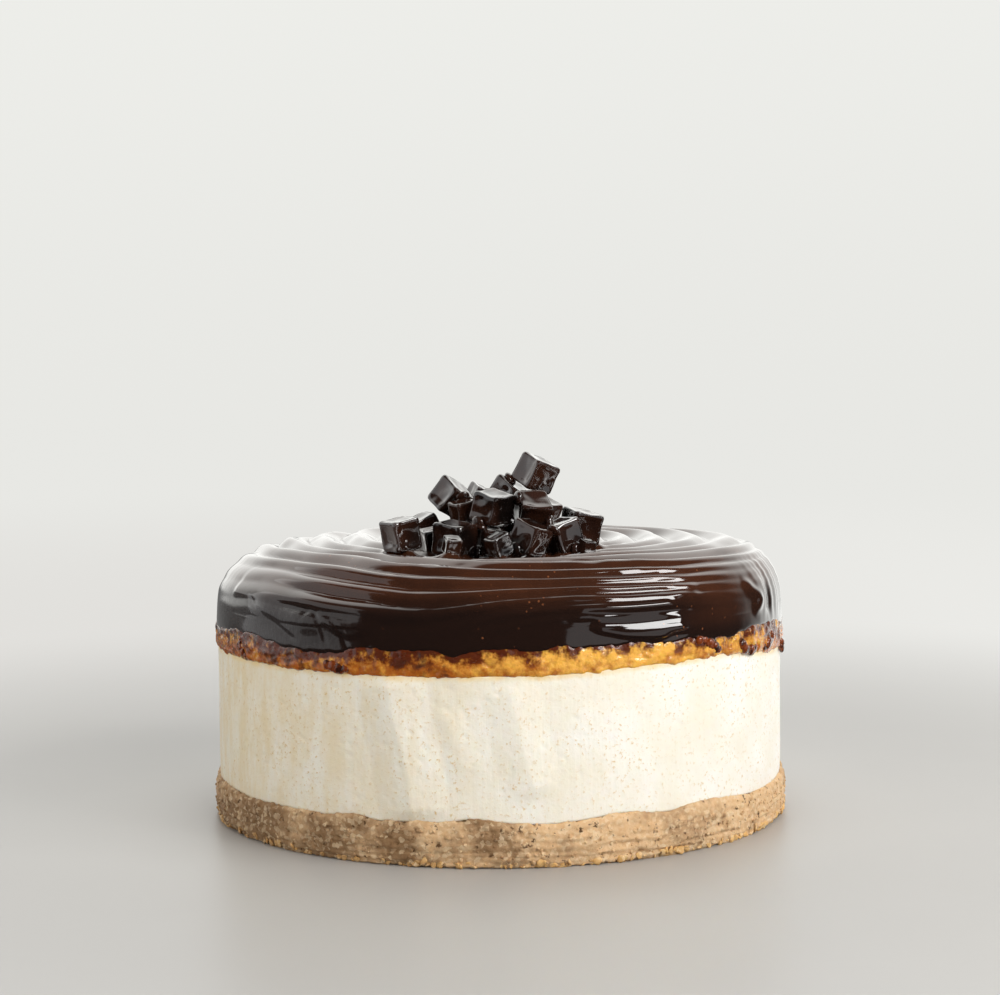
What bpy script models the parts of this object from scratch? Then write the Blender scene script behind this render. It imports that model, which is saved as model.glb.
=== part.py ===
"""A small round chocolate cheesecake: crumb base, cream, caramel, combed ganache and a heap of cubes.

The frame is metres with +Z up. The origin is the middle of the base's underside, and the front is towards -Y.
Azimuths are degrees round the cake, 0 at the front and positive towards +X. The layers are lofts from ring to
ring; two layers that meet share one wavy surface, held a small gap apart. The ganache is a grid bent on to a
round outline and raised into combed ridges. The cubes start at their places in the heap, and are pushed apart
until they only touch.
"""

import math
import random

import bmesh
import bpy
import numpy as np
from mathutils import Euler, Vector, noise

MM = 0.001
GAP = 0.3 * MM

# Layers, bottom to top: the height of each one's top edge and the radius of its side.
BASE_TOP = 10.4 * MM
BASE_RADIUS = 75.7 * MM
CREAM_TOP = 45.0 * MM
CREAM_RADIUS = 75.0 * MM
CARAMEL_TOP = 51.4 * MM
CARAMEL_RADIUS = 75.3 * MM
GANACHE_TOP = 70.0 * MM
GANACHE_RADIUS = 75.0 * MM
FLAT_RADIUS = 66.0 * MM  # inside this the hidden faces between layers are level

# The mesh's steps: across and deep on the top's grid, which together give the steps round.
GRID_ACROSS = 36
GRID_DEEP = 46
STEPS_ROUND = 2 * (GRID_ACROSS + GRID_DEEP)
STEP_AZIMUTH = 360.0 / STEPS_ROUND

# Shoulder of the ganache: how far in and down it reaches, and how it widens towards the left and the front.
SHOULDER_REACH = 13.8 * MM
SHOULDER_REACH_LEFT = 3.2 * MM
SHOULDER_REACH_FRONT = 1.0 * MM
SHOULDER_DROP = 14.0 * MM
SHOULDER_STEPS = 10
SIDE_STEPS = 2

# Combed ridges: arcs round two centres, blended from the left to the right of the cake.
RIDGE_SPACING = 9.3 * MM
LEFT_CENTRE = (36.0 * MM, 28.0 * MM)
LEFT_ARC = 94.0 * MM
RIGHT_CENTRE = (8.0 * MM, 13.0 * MM)
RIGHT_ARC = 72.8 * MM
BLEND_HALF_WIDTH = 35.0 * MM
RIDGE_HEIGHT = 1.9 * MM
RIDGE_HEIGHT_LEFT = 0.5 * MM
RIDGE_CREST = 1.1  # above 1 the crests are narrower than the valleys
QUIET_AZIMUTH = -135.0  # where the strokes leave over the rim, and press less
QUIET_HALF_WIDTH = 42.0
QUIET_SHARE = 0.4
UNROLL = 1.3  # how much a drop over the shoulder counts as way along the comb's path

# The shallow dent that the heap of cubes presses into the top.
DENT_CENTRE = (-1.0 * MM, -23.0 * MM)
DENT_RADIUS = 31.0 * MM
DENT_DEPTH = 1.8 * MM

# Where the ganache sags over the caramel: azimuth, half width in degrees, and depth.
SAGS = (
    (-36.0, 12.0, 3.6 * MM),
    (-20.0, 7.0, 2.6 * MM),
    (-8.0, 3.4, 2.6 * MM),
    (5.5, 3.0, 2.0 * MM),
    (31.5, 4.0, 1.6 * MM),
    (42.5, 3.0, 3.2 * MM),
    (49.0, 3.5, 2.2 * MM),
)
HIDDEN_SAGS = 13
HIDDEN_SAG_DEPTH = (1.4 * MM, 3.4 * MM)
HIDDEN_SAG_WIDTH = (3.0, 9.0)

# Lumps along the base's top edge: azimuth, half width and height.
BASE_LUMPS = (
    (-28.0, 4.0, 1.1 * MM),
    (-5.5, 4.5, 1.2 * MM),
    (22.0, 7.0, 1.5 * MM),
    (45.0, 7.0, 1.3 * MM),
    (100.0, 8.0, 1.2 * MM),
    (150.0, 10.0, 1.4 * MM),
    (-110.0, 9.0, 1.3 * MM),
    (-160.0, 6.0, 1.0 * MM),
)

# Folds where the ganache slumped on its side: azimuth, height, half sizes round and up, and how far it stands
# out.
FOLDS = (
    (-52.0, 59.5 * MM, 7.0, 3.0 * MM, 0.9 * MM),
    (-38.0, 57.0 * MM, 6.0, 4.0 * MM, 0.8 * MM),
    (-27.0, 58.5 * MM, 5.0, 3.0 * MM, 0.7 * MM),
    (27.0, 61.0 * MM, 12.0, 1.6 * MM, 0.7 * MM),
    (36.0, 55.0 * MM, 8.0, 1.6 * MM, 0.6 * MM),
    (62.0, 60.0 * MM, 3.0, 5.0 * MM, 0.8 * MM),
    (118.0, 58.0 * MM, 14.0, 2.4 * MM, 0.8 * MM),
    (165.0, 60.0 * MM, 10.0, 3.0 * MM, 0.7 * MM),
    (-130.0, 57.0 * MM, 12.0, 2.6 * MM, 0.8 * MM),
)

# Chocolate cubes: the place that each one's middle is drawn to, x, y and z, its side, all in mm, then its turns
# in degrees: round its own upright, forwards, and over to the right.
CUBES = (
    (-24.5, -33.0, 74.0, 8.2, 35, 4, -6),
    (-11.0, -31.0, 76.0, 8.8, -32, 8, 4),
    (-2.0, -28.0, 74.0, 7.2, 30, 10, 14),
    (8.5, -35.0, 74.0, 7.8, 52, 6, 24),
    (15.5, -31.0, 74.0, 8.0, 34, 6, -14),
    (21.0, -19.0, 76.5, 8.8, 22, 6, 12),
    (-19.0, -14.0, 78.0, 8.2, 24, 10, -24),
    (1.0, -38.0, 73.0, 5.6, 34, 16, -16),
    (-11.5, -41.0, 71.5, 4.4, 20, 12, 10),
    (-17.0, -24.0, 73.0, 6.0, 20, 8, -8),
    (21.5, -32.0, 71.5, 3.4, 30, 8, 10),
    (-10.5, -15.0, 74.5, 7.6, 8, -6, 4),
    (0.5, -17.0, 74.5, 7.8, 52, 3, -5),
    (11.0, -17.0, 74.5, 7.8, 20, -4, 4),
    (-5.0, -4.0, 73.5, 8.2, 34, 7, 3),
    (7.5, -4.0, 73.5, 8.0, 64, 5, -8),
    (-3.0, -26.0, 81.5, 8.0, 50, 14, 12),
    (9.0, -25.0, 82.5, 8.2, 20, 34, 16),
    (-12.0, -15.0, 85.5, 8.2, 42, 6, 40),
    (-8.0, -23.0, 83.0, 5.8, 30, 12, -10),
    (3.0, -14.0, 86.0, 9.0, 38, 8, 34),
    (9.5, -14.0, 91.5, 8.6, 40, 6, 26),
    (-5.0, -4.0, 85.0, 6.4, 20, 0, 30),
    (12.5, -10.0, 81.0, 6.4, 50, 10, 20),
)
# How the heap comes together: rounds, the share of the way home that a cube moves each round across, deep and
# up, how far it sinks each round, and how readily a push moves it across, deep and up.
HEAP_STAGES = (
    (160, (0.10, 0.02, 0.10), 0.0, (0.1, 1.0, 0.1)),
    (120, (0.04, 0.02, 0.03), 0.04 * MM, (0.25, 1.0, 0.25)),
    (90, (0.04, 0.04, 0.0), 0.03 * MM, (1.0, 1.0, 1.0)),
    (30, (0.0, 0.0, 0.0), 0.0, (1.0, 1.0, 1.0)),
)
CUBE_BEVEL = 0.14  # of a cube's side
CUBE_SKEW = 0.05  # of a cube's side, at each corner

CRUMB_COLOUR = (0.42, 0.27, 0.14, 1.0)
CREAM_COLOUR = (0.82, 0.74, 0.58, 1.0)
CARAMEL_COLOUR = (0.62, 0.26, 0.04, 1.0)
GANACHE_COLOUR = (0.028, 0.011, 0.007, 1.0)


def bump(distance, half_width):
    """A smooth hump, 1 in its middle and near 0 at twice its half width."""
    return math.exp(-((distance / half_width) ** 2))


def turn_between(a, b):
    """The angle from b to a in degrees, between -180 and 180."""
    return (a - b + 180.0) % 360.0 - 180.0


def wander(azimuth, lumps, seed):
    """A smooth uneven value between about -1 and 1 that closes round the cake, with this many lumps."""
    reach = lumps / (2.0 * math.pi)
    angle = math.radians(azimuth)
    return noise.noise(Vector((math.sin(angle) * reach, math.cos(angle) * reach, 7.3 * seed)))


def smooth_step(value):
    value = min(max(value, 0.0), 1.0)
    return value * value * (3.0 - 2.0 * value)


def polar(azimuth, radius, height):
    angle = math.radians(azimuth)
    return Vector((radius * math.sin(angle), -radius * math.cos(angle), height))


def hidden_sags():
    """The sags on the side away from the front, spread by a rule with seeded sizes."""
    draw = random.Random(11)
    first, span = 72.0, 216.0
    return tuple(
        (
            first + span * (k + draw.uniform(0.2, 0.8)) / HIDDEN_SAGS,
            draw.uniform(*HIDDEN_SAG_WIDTH),
            draw.uniform(*HIDDEN_SAG_DEPTH),
        )
        for k in range(HIDDEN_SAGS)
    )


ALL_SAGS = SAGS + hidden_sags()


def edge_blend(radius):
    """0 on the level inside, 1 at the side: how much of a wavy edge reaches in."""
    return min(max((radius - FLAT_RADIUS) / (CREAM_RADIUS - FLAT_RADIUS), 0.0), 1.04)


def base_top(azimuth, radius):
    lumps = sum(high * bump(turn_between(azimuth, at), wide) for at, wide, high in BASE_LUMPS)
    return BASE_TOP + edge_blend(radius) * (lumps + 0.5 * MM * wander(azimuth, 34, 1))


def cream_top(azimuth, radius):
    rise = 1.8 * bump(turn_between(azimuth, 34.0), 24.0) - 0.4
    return CREAM_TOP + edge_blend(radius) * MM * (rise + wander(azimuth, 16, 2))


def caramel_top(azimuth, radius):
    sag = max(deep * bump(turn_between(azimuth, at), wide) for at, wide, deep in ALL_SAGS)
    return CARAMEL_TOP + edge_blend(radius) * (0.9 * MM * wander(azimuth, 26, 3) - sag)


def loft(bm, rings):
    """Joins rings of points with triangles. Between the same two radii the diagonals run the same way."""
    made = [[bm.verts.new(p) if isinstance(p, Vector) else p for p in points] for points in rings]
    for upper, lower in zip(made, made[1:]):
        inwards = lower[0].co.xy.length < upper[0].co.xy.length
        for i in range(len(upper)):
            k = (i + 1) % len(upper)
            if inwards:
                bm.faces.new((upper[i], lower[i], upper[k]))
                bm.faces.new((upper[k], lower[i], lower[k]))
            else:
                bm.faces.new((upper[i], lower[i], lower[k]))
                bm.faces.new((upper[i], lower[k], upper[k]))
    return made


def round_azimuths():
    """Azimuths of one ring, from the front-left corner of the top's grid."""
    start = -0.5 * GRID_ACROSS * STEP_AZIMUTH
    return [start + STEP_AZIMUTH * i for i in range(STEPS_ROUND)]


def ring(radius, height):
    """One ring of points from functions of the azimuth."""
    return [polar(a, radius(a), height(a)) for a in round_azimuths()]


def finish(bm, name, colour, roughness, coat=0.0):
    """Turns the body into a named object with its own material, all faces outwards."""
    bmesh.ops.recalc_face_normals(bm, faces=bm.faces)
    mesh = bpy.data.meshes.new(name)
    bm.to_mesh(mesh)
    bm.free()
    mesh.shade_smooth()
    mesh.set_sharp_from_angle(angle=math.radians(50.0))
    mesh.materials.append(material(name, colour, roughness, coat))
    obj = bpy.data.objects.new(name, mesh)
    bpy.data.collections["chocolate_cheesecake"].objects.link(obj)
    return obj


def material(name, colour, roughness, coat):
    made = bpy.data.materials.new(name)
    made.use_nodes = True
    shader = made.node_tree.nodes["Principled BSDF"]
    shader.inputs["Base Color"].default_value = colour
    shader.inputs["Roughness"].default_value = roughness
    shader.inputs["Metallic"].default_value = 0.0
    shader.inputs["Coat Weight"].default_value = coat
    return made


def layer(name, floor, ceiling, side, steps, colour, roughness):
    """A layer of the cake.

    floor and ceiling give heights by azimuth and radius. side gives a radius by azimuth and height share: 0
    at the layer's foot to 1 at its top.
    """
    bm = bmesh.new()
    rings = [ring(lambda a: FLAT_RADIUS, lambda a: ceiling(a, FLAT_RADIUS))]
    for k in range(steps, -1, -1):
        share = k / steps

        def radius(a, share=share):
            return side(a, share)

        def height(a, share=share):
            low, high = floor(a, side(a, 0.0)), ceiling(a, side(a, 1.0))
            return low + share * (high - low)

        rings.append(ring(radius, height))
    rings.append(ring(lambda a: FLAT_RADIUS, lambda a: floor(a, FLAT_RADIUS)))
    made = loft(bm, rings)
    bm.faces.new(made[0])
    bm.faces.new(made[-1])
    return finish(bm, name, colour, roughness)


def build_base():
    def side(azimuth, share):
        swell = 0.3 * MM * math.sin(math.pi * share) - 0.4 * MM * (1.0 - share) ** 4
        crumble = 0.6 * MM * wander(azimuth, 30, 4 + 3 * share) * (1.3 - share)
        return BASE_RADIUS + swell + crumble

    return layer("biscuit_base", lambda a, r: 0.0, base_top, side, 3, CRUMB_COLOUR, 0.9)


def build_cream():
    def side(azimuth, share):
        return CREAM_RADIUS + 0.2 * MM * wander(azimuth, 14, 8)

    return layer(
        "cream_filling", lambda a, r: base_top(a, r) + GAP, cream_top, side, 1, CREAM_COLOUR, 0.6
    )


def build_caramel():
    def side(azimuth, share):
        return CARAMEL_RADIUS + 0.3 * MM * wander(azimuth, 24, 9) + 0.2 * MM * math.sin(math.pi * share)

    return layer(
        "caramel_layer", lambda a, r: cream_top(a, r) + GAP, caramel_top, side, 2, CARAMEL_COLOUR, 0.25
    )


def shoulder_reach(azimuth):
    angle = math.radians(azimuth)
    return SHOULDER_REACH - SHOULDER_REACH_LEFT * math.sin(angle) + SHOULDER_REACH_FRONT * math.cos(angle)


def shoulder_drop(azimuth, radius):
    """How far the smooth shape of the ganache has fallen below its flat top at this radius."""
    reach = shoulder_reach(azimuth)
    share = min(max((radius - GANACHE_RADIUS + reach) / reach, 0.0), 1.0)
    return SHOULDER_DROP * (1.0 - math.sqrt(1.0 - share * share))


def comb_path(point):
    """The distance across the comb's strokes at a point, in strokes. Whole numbers are crests."""
    radius = max(point.xy.length, 1e-6)
    azimuth = math.degrees(math.atan2(point.x, -point.y))
    unrolled = point.xy * ((radius + UNROLL * shoulder_drop(azimuth, radius)) / radius)
    left = (unrolled - Vector(LEFT_CENTRE)).length - LEFT_ARC
    right = (unrolled - Vector(RIGHT_CENTRE)).length - RIGHT_ARC
    share = smooth_step(0.5 + 0.5 * point.x / BLEND_HALF_WIDTH)
    wobble = 0.22 * noise.noise(Vector((point.x, point.y, 0.0)) / (17.0 * MM))
    return (left + share * (right - left)) / RIDGE_SPACING + wobble


def ridge(point):
    """Height of the combed ridges: narrow crests with broad valleys between them, stronger at the left."""
    crest = (0.5 + 0.5 * math.cos(2.0 * math.pi * comb_path(point))) ** RIDGE_CREST
    azimuth = math.degrees(math.atan2(point.x, -point.y))
    outside = smooth_step((point.xy.length - 0.55 * GANACHE_RADIUS) / (0.2 * GANACHE_RADIUS))
    quiet = QUIET_SHARE * outside * bump(turn_between(azimuth, QUIET_AZIMUTH), QUIET_HALF_WIDTH)
    strength = RIDGE_HEIGHT - RIDGE_HEIGHT_LEFT * point.x / GANACHE_RADIUS
    patch = 1.0 + 0.3 * noise.noise(Vector((point.x, point.y, 0.02)) / (23.0 * MM))
    return (crest - 0.43) * strength * patch * (1.0 - quiet)


def ganache_top(point):
    """The flat top inside the shoulder, with its ridges and the heap's dent."""
    off = math.hypot(point.x - DENT_CENTRE[0], point.y - DENT_CENTRE[1])
    dent = smooth_step(1.5 * (1.0 - off / DENT_RADIUS))
    return GANACHE_TOP + ridge(point) * (1.0 - 0.6 * dent) - DENT_DEPTH * dent


def shoulder_point(azimuth, share):
    """A point on the shoulder, share 0 at its inner edge and 1 where it meets the side."""
    reach = shoulder_reach(azimuth)
    angle = 0.5 * math.pi * share
    radius = GANACHE_RADIUS - reach + reach * math.sin(angle)
    flat = polar(azimuth, radius, 0.0)
    height = GANACHE_TOP - SHOULDER_DROP * (1.0 - math.cos(angle))
    outwards = polar(azimuth, math.sin(angle), math.cos(angle))
    faded = ridge(flat) * (1.0 - 0.8 * share * share) + fold(azimuth, height)
    return Vector((flat.x, flat.y, height)) + outwards * faded


def fold(azimuth, height):
    return sum(
        out * bump(turn_between(azimuth, at), wide) * bump(height - up, tall)
        for at, up, wide, tall, out in FOLDS
    )


def side_point(azimuth, share):
    """A point on the ganache's side, share 0 at the shoulder's foot and 1 at the lower edge."""
    start = shoulder_point(azimuth, 1.0)
    edge = caramel_top(azimuth, GANACHE_RADIUS) + GAP
    height = start.z + share * (edge - start.z)
    rounded = 0.5 * MM * share**3 - 0.2 * MM * wander(azimuth, 20, 10)
    return polar(azimuth, GANACHE_RADIUS + fold(azimuth, height) - rounded, height)


def bend_to_disc(u, v):
    """Takes a point of the square grid, u across and v deep, -1 to 1, on to the disc inside the shoulder."""
    half_across = 0.5 * GRID_ACROSS * STEP_AZIMUTH
    half_deep = 0.5 * GRID_DEEP * STEP_AZIMUTH

    def rim(azimuth):
        return polar(azimuth, GANACHE_RADIUS - shoulder_reach(azimuth), 0.0)

    sides = (
        0.5 * (1 - v) * rim(u * half_across)
        + 0.5 * (1 + v) * rim(180.0 - u * half_across)
        + 0.5 * (1 - u) * rim(-90.0 - v * half_deep)
        + 0.5 * (1 + u) * rim(90.0 + v * half_deep)
    )
    corners = Vector((0.0, 0.0, 0.0))
    for right in (-1, 1):
        for back in (-1, 1):
            weight = 0.25 * (1 + right * u) * (1 + back * v)
            corners += weight * rim(right * (90.0 + back * half_deep))
    return sides - corners


def build_ganache():
    bm = bmesh.new()
    made = bmesh.ops.create_grid(bm, x_segments=GRID_ACROSS, y_segments=GRID_DEEP, size=1.0)
    for vert in made["verts"]:
        flat = bend_to_disc(vert.co.x, vert.co.y)
        vert.co = (flat.x, flat.y, ganache_top(flat))
    rim = {}
    for vert in bm.verts:
        if vert.is_boundary:
            azimuth = math.degrees(math.atan2(vert.co.x, -vert.co.y))
            rim[round((azimuth / STEP_AZIMUTH + 0.5 * GRID_ACROSS)) % STEPS_ROUND] = vert
    top_edge = [rim[i] for i in range(STEPS_ROUND)]
    rings = [top_edge]
    for k in range(1, SHOULDER_STEPS + 1):
        rings.append([shoulder_point(a, k / SHOULDER_STEPS) for a in round_azimuths()])
    for k in range(1, SIDE_STEPS + 1):
        rings.append([side_point(a, k / SIDE_STEPS) for a in round_azimuths()])
    rings.append(
        ring(lambda a: FLAT_RADIUS, lambda a: caramel_top(a, FLAT_RADIUS) + GAP)
    )
    lofted = loft(bm, rings)
    bm.faces.new(lofted[-1])
    return finish(bm, "chocolate_ganache", GANACHE_COLOUR, 0.15, coat=0.6)


def cube_mesh(side, seed):
    """A chocolate cube with worn edges and slightly uneven corners, about its own middle."""
    draw = random.Random(seed)
    bm = bmesh.new()
    bmesh.ops.create_cube(bm, size=side)
    for vert in bm.verts:
        vert.co += Vector([draw.uniform(-1.0, 1.0) * CUBE_SKEW * side for _ in range(3)])
    bmesh.ops.bevel(
        bm, geom=bm.edges[:], offset=CUBE_BEVEL * side, segments=1, profile=0.5, affect="EDGES"
    )
    bmesh.ops.triangulate(bm, faces=bm.faces)
    return bm


def turned_cube(number):
    """A cube of the heap in its turn, about its own middle."""
    side, spin, forwards, over = CUBES[number][3:]
    bm = cube_mesh(side * MM, number)
    turn = Euler([math.radians(angle) for angle in (forwards, over, spin)], "ZXY").to_matrix()
    bmesh.ops.rotate(bm, cent=(0.0, 0.0, 0.0), matrix=turn, verts=bm.verts)
    bm.normal_update()
    return bm


def push_apart(corners, others, lines, give):
    """The easiest push that takes one cube's corners clear of another's, or None where they are clear.

    lines are the face normals of both: two such cubes are clear when they are so along one of them.
    """
    here, there = corners @ lines.T, others @ lines.T
    ahead = here.min(axis=0) - there.max(axis=0)
    behind = there.min(axis=0) - here.max(axis=0)
    needed = GAP - np.maximum(ahead, behind)
    if needed.min() <= 0.0:
        return None
    yields = (lines**2) @ give
    best = (needed / np.sqrt(yields)).argmin()
    line = lines[best] if ahead[best] > behind[best] else -lines[best]
    return line * give * needed[best] / yields[best]


def rise_clear(points):
    """How far these points of a cube have to rise to clear the ganache by the gap, negative when above it."""
    return max(ganache_top(Vector(point)) + GAP - point[2] for point in points)


def heap_middles(bodies):
    """Where the cubes come to lie: drawn to their places, pushed clear of each other and of the ganache."""
    corners = [np.array([vert.co for vert in bm.verts]) for bm in bodies]
    normals = [np.array([face.normal for face in bm.faces]) for bm in bodies]
    undersides = [
        np.array([vert.co for vert in bm.verts] + [face.calc_center_median() for face in bm.faces])
        for bm in bodies
    ]
    undersides = [points[points[:, 2] < 0.0] for points in undersides]
    places = np.array([cube[:3] for cube in CUBES]) * MM
    reach = np.array([cube[3] for cube in CUBES]) * MM
    middles = places.copy()
    pairs = [(i, k) for i in range(len(bodies)) for k in range(i)]
    lines = [np.vstack((normals[i], normals[k])) for i, k in pairs]
    for rounds, homing, sinking, give in HEAP_STAGES:
        for _ in range(rounds):
            middles += np.array(homing) * (places - middles)
            middles[:, 2] -= sinking
            for (i, k), both in zip(pairs, lines):
                if np.linalg.norm(middles[i] - middles[k]) > reach[i] + reach[k]:
                    continue
                push = push_apart(corners[i] + middles[i], corners[k] + middles[k], both, np.array(give))
                if push is not None:
                    middles[i] += 0.5 * push
                    middles[k] -= 0.5 * push
            for middle, points, far in zip(middles, undersides, reach):
                if middle[2] - far < GANACHE_TOP + RIDGE_HEIGHT:
                    middle[2] += max(0.0, rise_clear(points + middle))
    return middles


def build_cubes():
    bodies = [turned_cube(number) for number in range(len(CUBES))]
    for number, (bm, middle) in enumerate(zip(bodies, heap_middles(bodies))):
        bmesh.ops.translate(bm, vec=middle, verts=bm.verts)
        finish(bm, f"chocolate_cube_{number + 1:02d}", GANACHE_COLOUR, 0.12, coat=0.8)


def main():
    for obj in list(bpy.data.objects):
        bpy.data.objects.remove(obj)
    collection = bpy.data.collections.new("chocolate_cheesecake")
    bpy.context.scene.collection.children.link(collection)
    build_base()
    build_cream()
    build_caramel()
    build_ganache()
    build_cubes()


main()
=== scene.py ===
"""The looks of a small round chocolate cheesecake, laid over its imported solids.

All sizes are in metres, in the cake's own frame: +Z up, the middle of the underside at the origin, the front
towards -Y. Azimuths are degrees round the cake, 0 at the front and positive towards +X. CakeForm repeats the
formulas that shape the solids, and each sub-assembly adds the finer relief and the finishes to it.
"""

import logging
import math
import random
from dataclasses import dataclass
from enum import Enum

import bmesh
import bpy
import numpy as np
from mathutils import Matrix, Vector, kdtree, noise


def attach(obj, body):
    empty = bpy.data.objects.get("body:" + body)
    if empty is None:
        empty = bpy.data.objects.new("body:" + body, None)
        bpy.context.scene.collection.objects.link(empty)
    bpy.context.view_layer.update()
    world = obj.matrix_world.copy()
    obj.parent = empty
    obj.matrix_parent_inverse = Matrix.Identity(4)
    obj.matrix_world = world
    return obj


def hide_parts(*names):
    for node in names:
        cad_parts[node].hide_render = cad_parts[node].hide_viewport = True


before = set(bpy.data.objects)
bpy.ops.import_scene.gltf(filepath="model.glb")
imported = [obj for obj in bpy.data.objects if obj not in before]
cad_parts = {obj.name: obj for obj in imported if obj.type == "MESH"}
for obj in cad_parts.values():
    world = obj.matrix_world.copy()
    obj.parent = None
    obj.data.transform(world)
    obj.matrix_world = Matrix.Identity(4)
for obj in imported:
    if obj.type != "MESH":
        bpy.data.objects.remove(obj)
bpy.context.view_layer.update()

MM = 0.001
BODY = "root"
NOISE_SEED = 11
LOG = logging.getLogger("cheesecake")


def bump(distance: np.ndarray, half_width: float) -> np.ndarray:
    """A smooth hump, 1 in its middle and near 0 at twice its half width."""
    return np.exp(-((distance / half_width) ** 2))


def turn_between(a: np.ndarray, b: float) -> np.ndarray:
    """The angle from b to a in degrees, between -180 and 180."""
    return (a - b + 180.0) % 360.0 - 180.0


def smooth_step(value: np.ndarray) -> np.ndarray:
    """0 below 0, 1 above 1, and a soft rise between."""
    value = np.clip(value, 0.0, 1.0)
    return value * value * (3.0 - 2.0 * value)


def noise_at(x: np.ndarray, y: np.ndarray, z: np.ndarray) -> np.ndarray:
    """Smooth uneven values between about -1 and 1.

    Args:
        x: first coordinate, in lumps.
        y: second coordinate, in lumps.
        z: third coordinate, in lumps.

    Returns:
        One value for each point, in the shape of the coordinates together.
    """
    x, y, z = np.broadcast_arrays(x, y, z)
    rows = np.stack((x.ravel(), y.ravel(), z.ravel()), axis=1).tolist()
    return np.array([noise.noise(row) for row in rows]).reshape(x.shape)


def wander(azimuth: np.ndarray, lumps: float, seed: float) -> np.ndarray:
    """A smooth uneven value between about -1 and 1 that closes round the cake, with this many lumps."""
    reach = lumps / (2.0 * math.pi)
    angle = np.radians(azimuth)
    return noise_at(np.sin(angle) * reach, np.cos(angle) * reach, 7.3 * seed)


def polar(azimuth: np.ndarray, radius: np.ndarray, height: np.ndarray) -> np.ndarray:
    """Points from azimuth, radius and height, with the coordinates on the last axis."""
    angle = np.radians(azimuth)
    return np.stack(np.broadcast_arrays(radius * np.sin(angle), -radius * np.cos(angle), height), axis=-1)


def mesh_of(bm: bmesh.types.BMesh, name: str) -> bpy.types.Mesh:
    """Turns an edit mesh into a mesh of this name, and frees it."""
    mesh = bpy.data.meshes.new(name)
    bm.to_mesh(mesh)
    bm.free()
    return mesh


def points_of(mesh: bpy.types.Mesh) -> np.ndarray:
    """The mesh's points, one to a row."""
    place = np.zeros(len(mesh.vertices) * 3, np.float32)
    mesh.vertices.foreach_get("co", place)
    return place.reshape(-1, 3)


def tree_of(points: np.ndarray) -> kdtree.KDTree:
    """A search tree of points."""
    tree = kdtree.KDTree(len(points))
    for i, point in enumerate(points):
        tree.insert(point, i)
    tree.balance()
    return tree


@dataclass(frozen=True)
class Wave:
    """An uneven wave round the cake: how deep it is, how many lumps it has, and the seed of its shape."""

    depth: float
    lumps: float
    seed: float

    def at(self, azimuth: np.ndarray) -> np.ndarray:
        """Its offset at these azimuths."""
        return self.depth * wander(azimuth, self.lumps, self.seed)


class Profile(Enum):
    """How the surface changes across a stroke."""

    CREST = "crest"
    GROOVE = "groove"
    LEDGE = "ledge"
    EDGE = "edge"


@dataclass(frozen=True)
class Stroke:
    """A mark on the cake's side, along a smooth line of azimuths in degrees and heights in millimetres.

    A crest stands out and a groove cuts in. A ledge stands out above its line and falls off sharply below
    it. An edge is where two flat facets meet.
    """

    line: tuple[tuple[float, float], ...]
    width: float
    depth: float
    profile: Profile = Profile.CREST
    fade: float = 4.0 * MM
    radius: float = 75.0 * MM
    steps: int = 8

    def path(self) -> np.ndarray:
        """The line as points of a smooth curve, in metres round the side and up."""
        flat = np.array([(math.radians(a) * self.radius, z * MM) for a, z in self.line])
        ends = np.vstack((2 * flat[0] - flat[1], flat, 2 * flat[-1] - flat[-2]))
        made = []
        for p0, p1, p2, p3 in zip(ends, ends[1:], ends[2:], ends[3:]):
            for t in np.arange(self.steps) / self.steps:
                bend = (2 * p0 - 5 * p1 + 4 * p2 - p3) * t * t + (3 * p1 - p0 - 3 * p2 + p3) * t**3
                made.append(0.5 * (2 * p1 + (p2 - p0) * t + bend))
        return np.vstack((made, flat[-1]))

    def offset(self, azimuth: np.ndarray, height: np.ndarray) -> np.ndarray:
        """How far the mark moves the surface outwards.

        Args:
            azimuth: degrees round the cake.
            height: metres above the underside.

        Returns:
            Metres outwards at each point.
        """
        path = self.path()
        middle = math.degrees(path[:, 0].mean() / self.radius)
        across = np.radians(turn_between(azimuth, middle) + middle) * self.radius
        nearest = np.full(across.shape, np.inf)
        side = np.ones(across.shape)
        ending = np.ones(across.shape)
        length = np.linalg.norm(np.diff(path, axis=0), axis=1).sum()
        run = 0.0
        for a, b in zip(path, path[1:]):
            step = b - a
            size = math.hypot(*step)
            share = np.clip(((across - a[0]) * step[0] + (height - a[1]) * step[1]) / size**2, 0.0, 1.0)
            dx, dz = across - a[0] - share * step[0], height - a[1] - share * step[1]
            distance = np.hypot(dx, dz)
            closer = distance < nearest
            nearest = np.where(closer, distance, nearest)
            side = np.where(closer, np.sign(step[0] * dz - step[1] * dx), side)
            along = run + share * size
            tail = smooth_step(np.minimum(along, length - along) / self.fade)
            ending = np.where(closer, tail, ending)
            run += size
        return self.depth * ending * self.across(nearest, side)

    def across(self, distance: np.ndarray, side: np.ndarray) -> np.ndarray:
        """The profile's height, as a share of the depth, at this distance and on this side of the line."""
        if self.profile is Profile.GROOVE:
            return -bump(distance, self.width)
        if self.profile is Profile.EDGE:
            return np.clip(1.0 - distance / self.width, 0.0, 1.0)
        if self.profile is Profile.LEDGE:
            reach = np.where(side > 0.0, self.width, 0.22 * self.width)
            return bump(distance, reach)
        return bump(distance, self.width)


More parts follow.
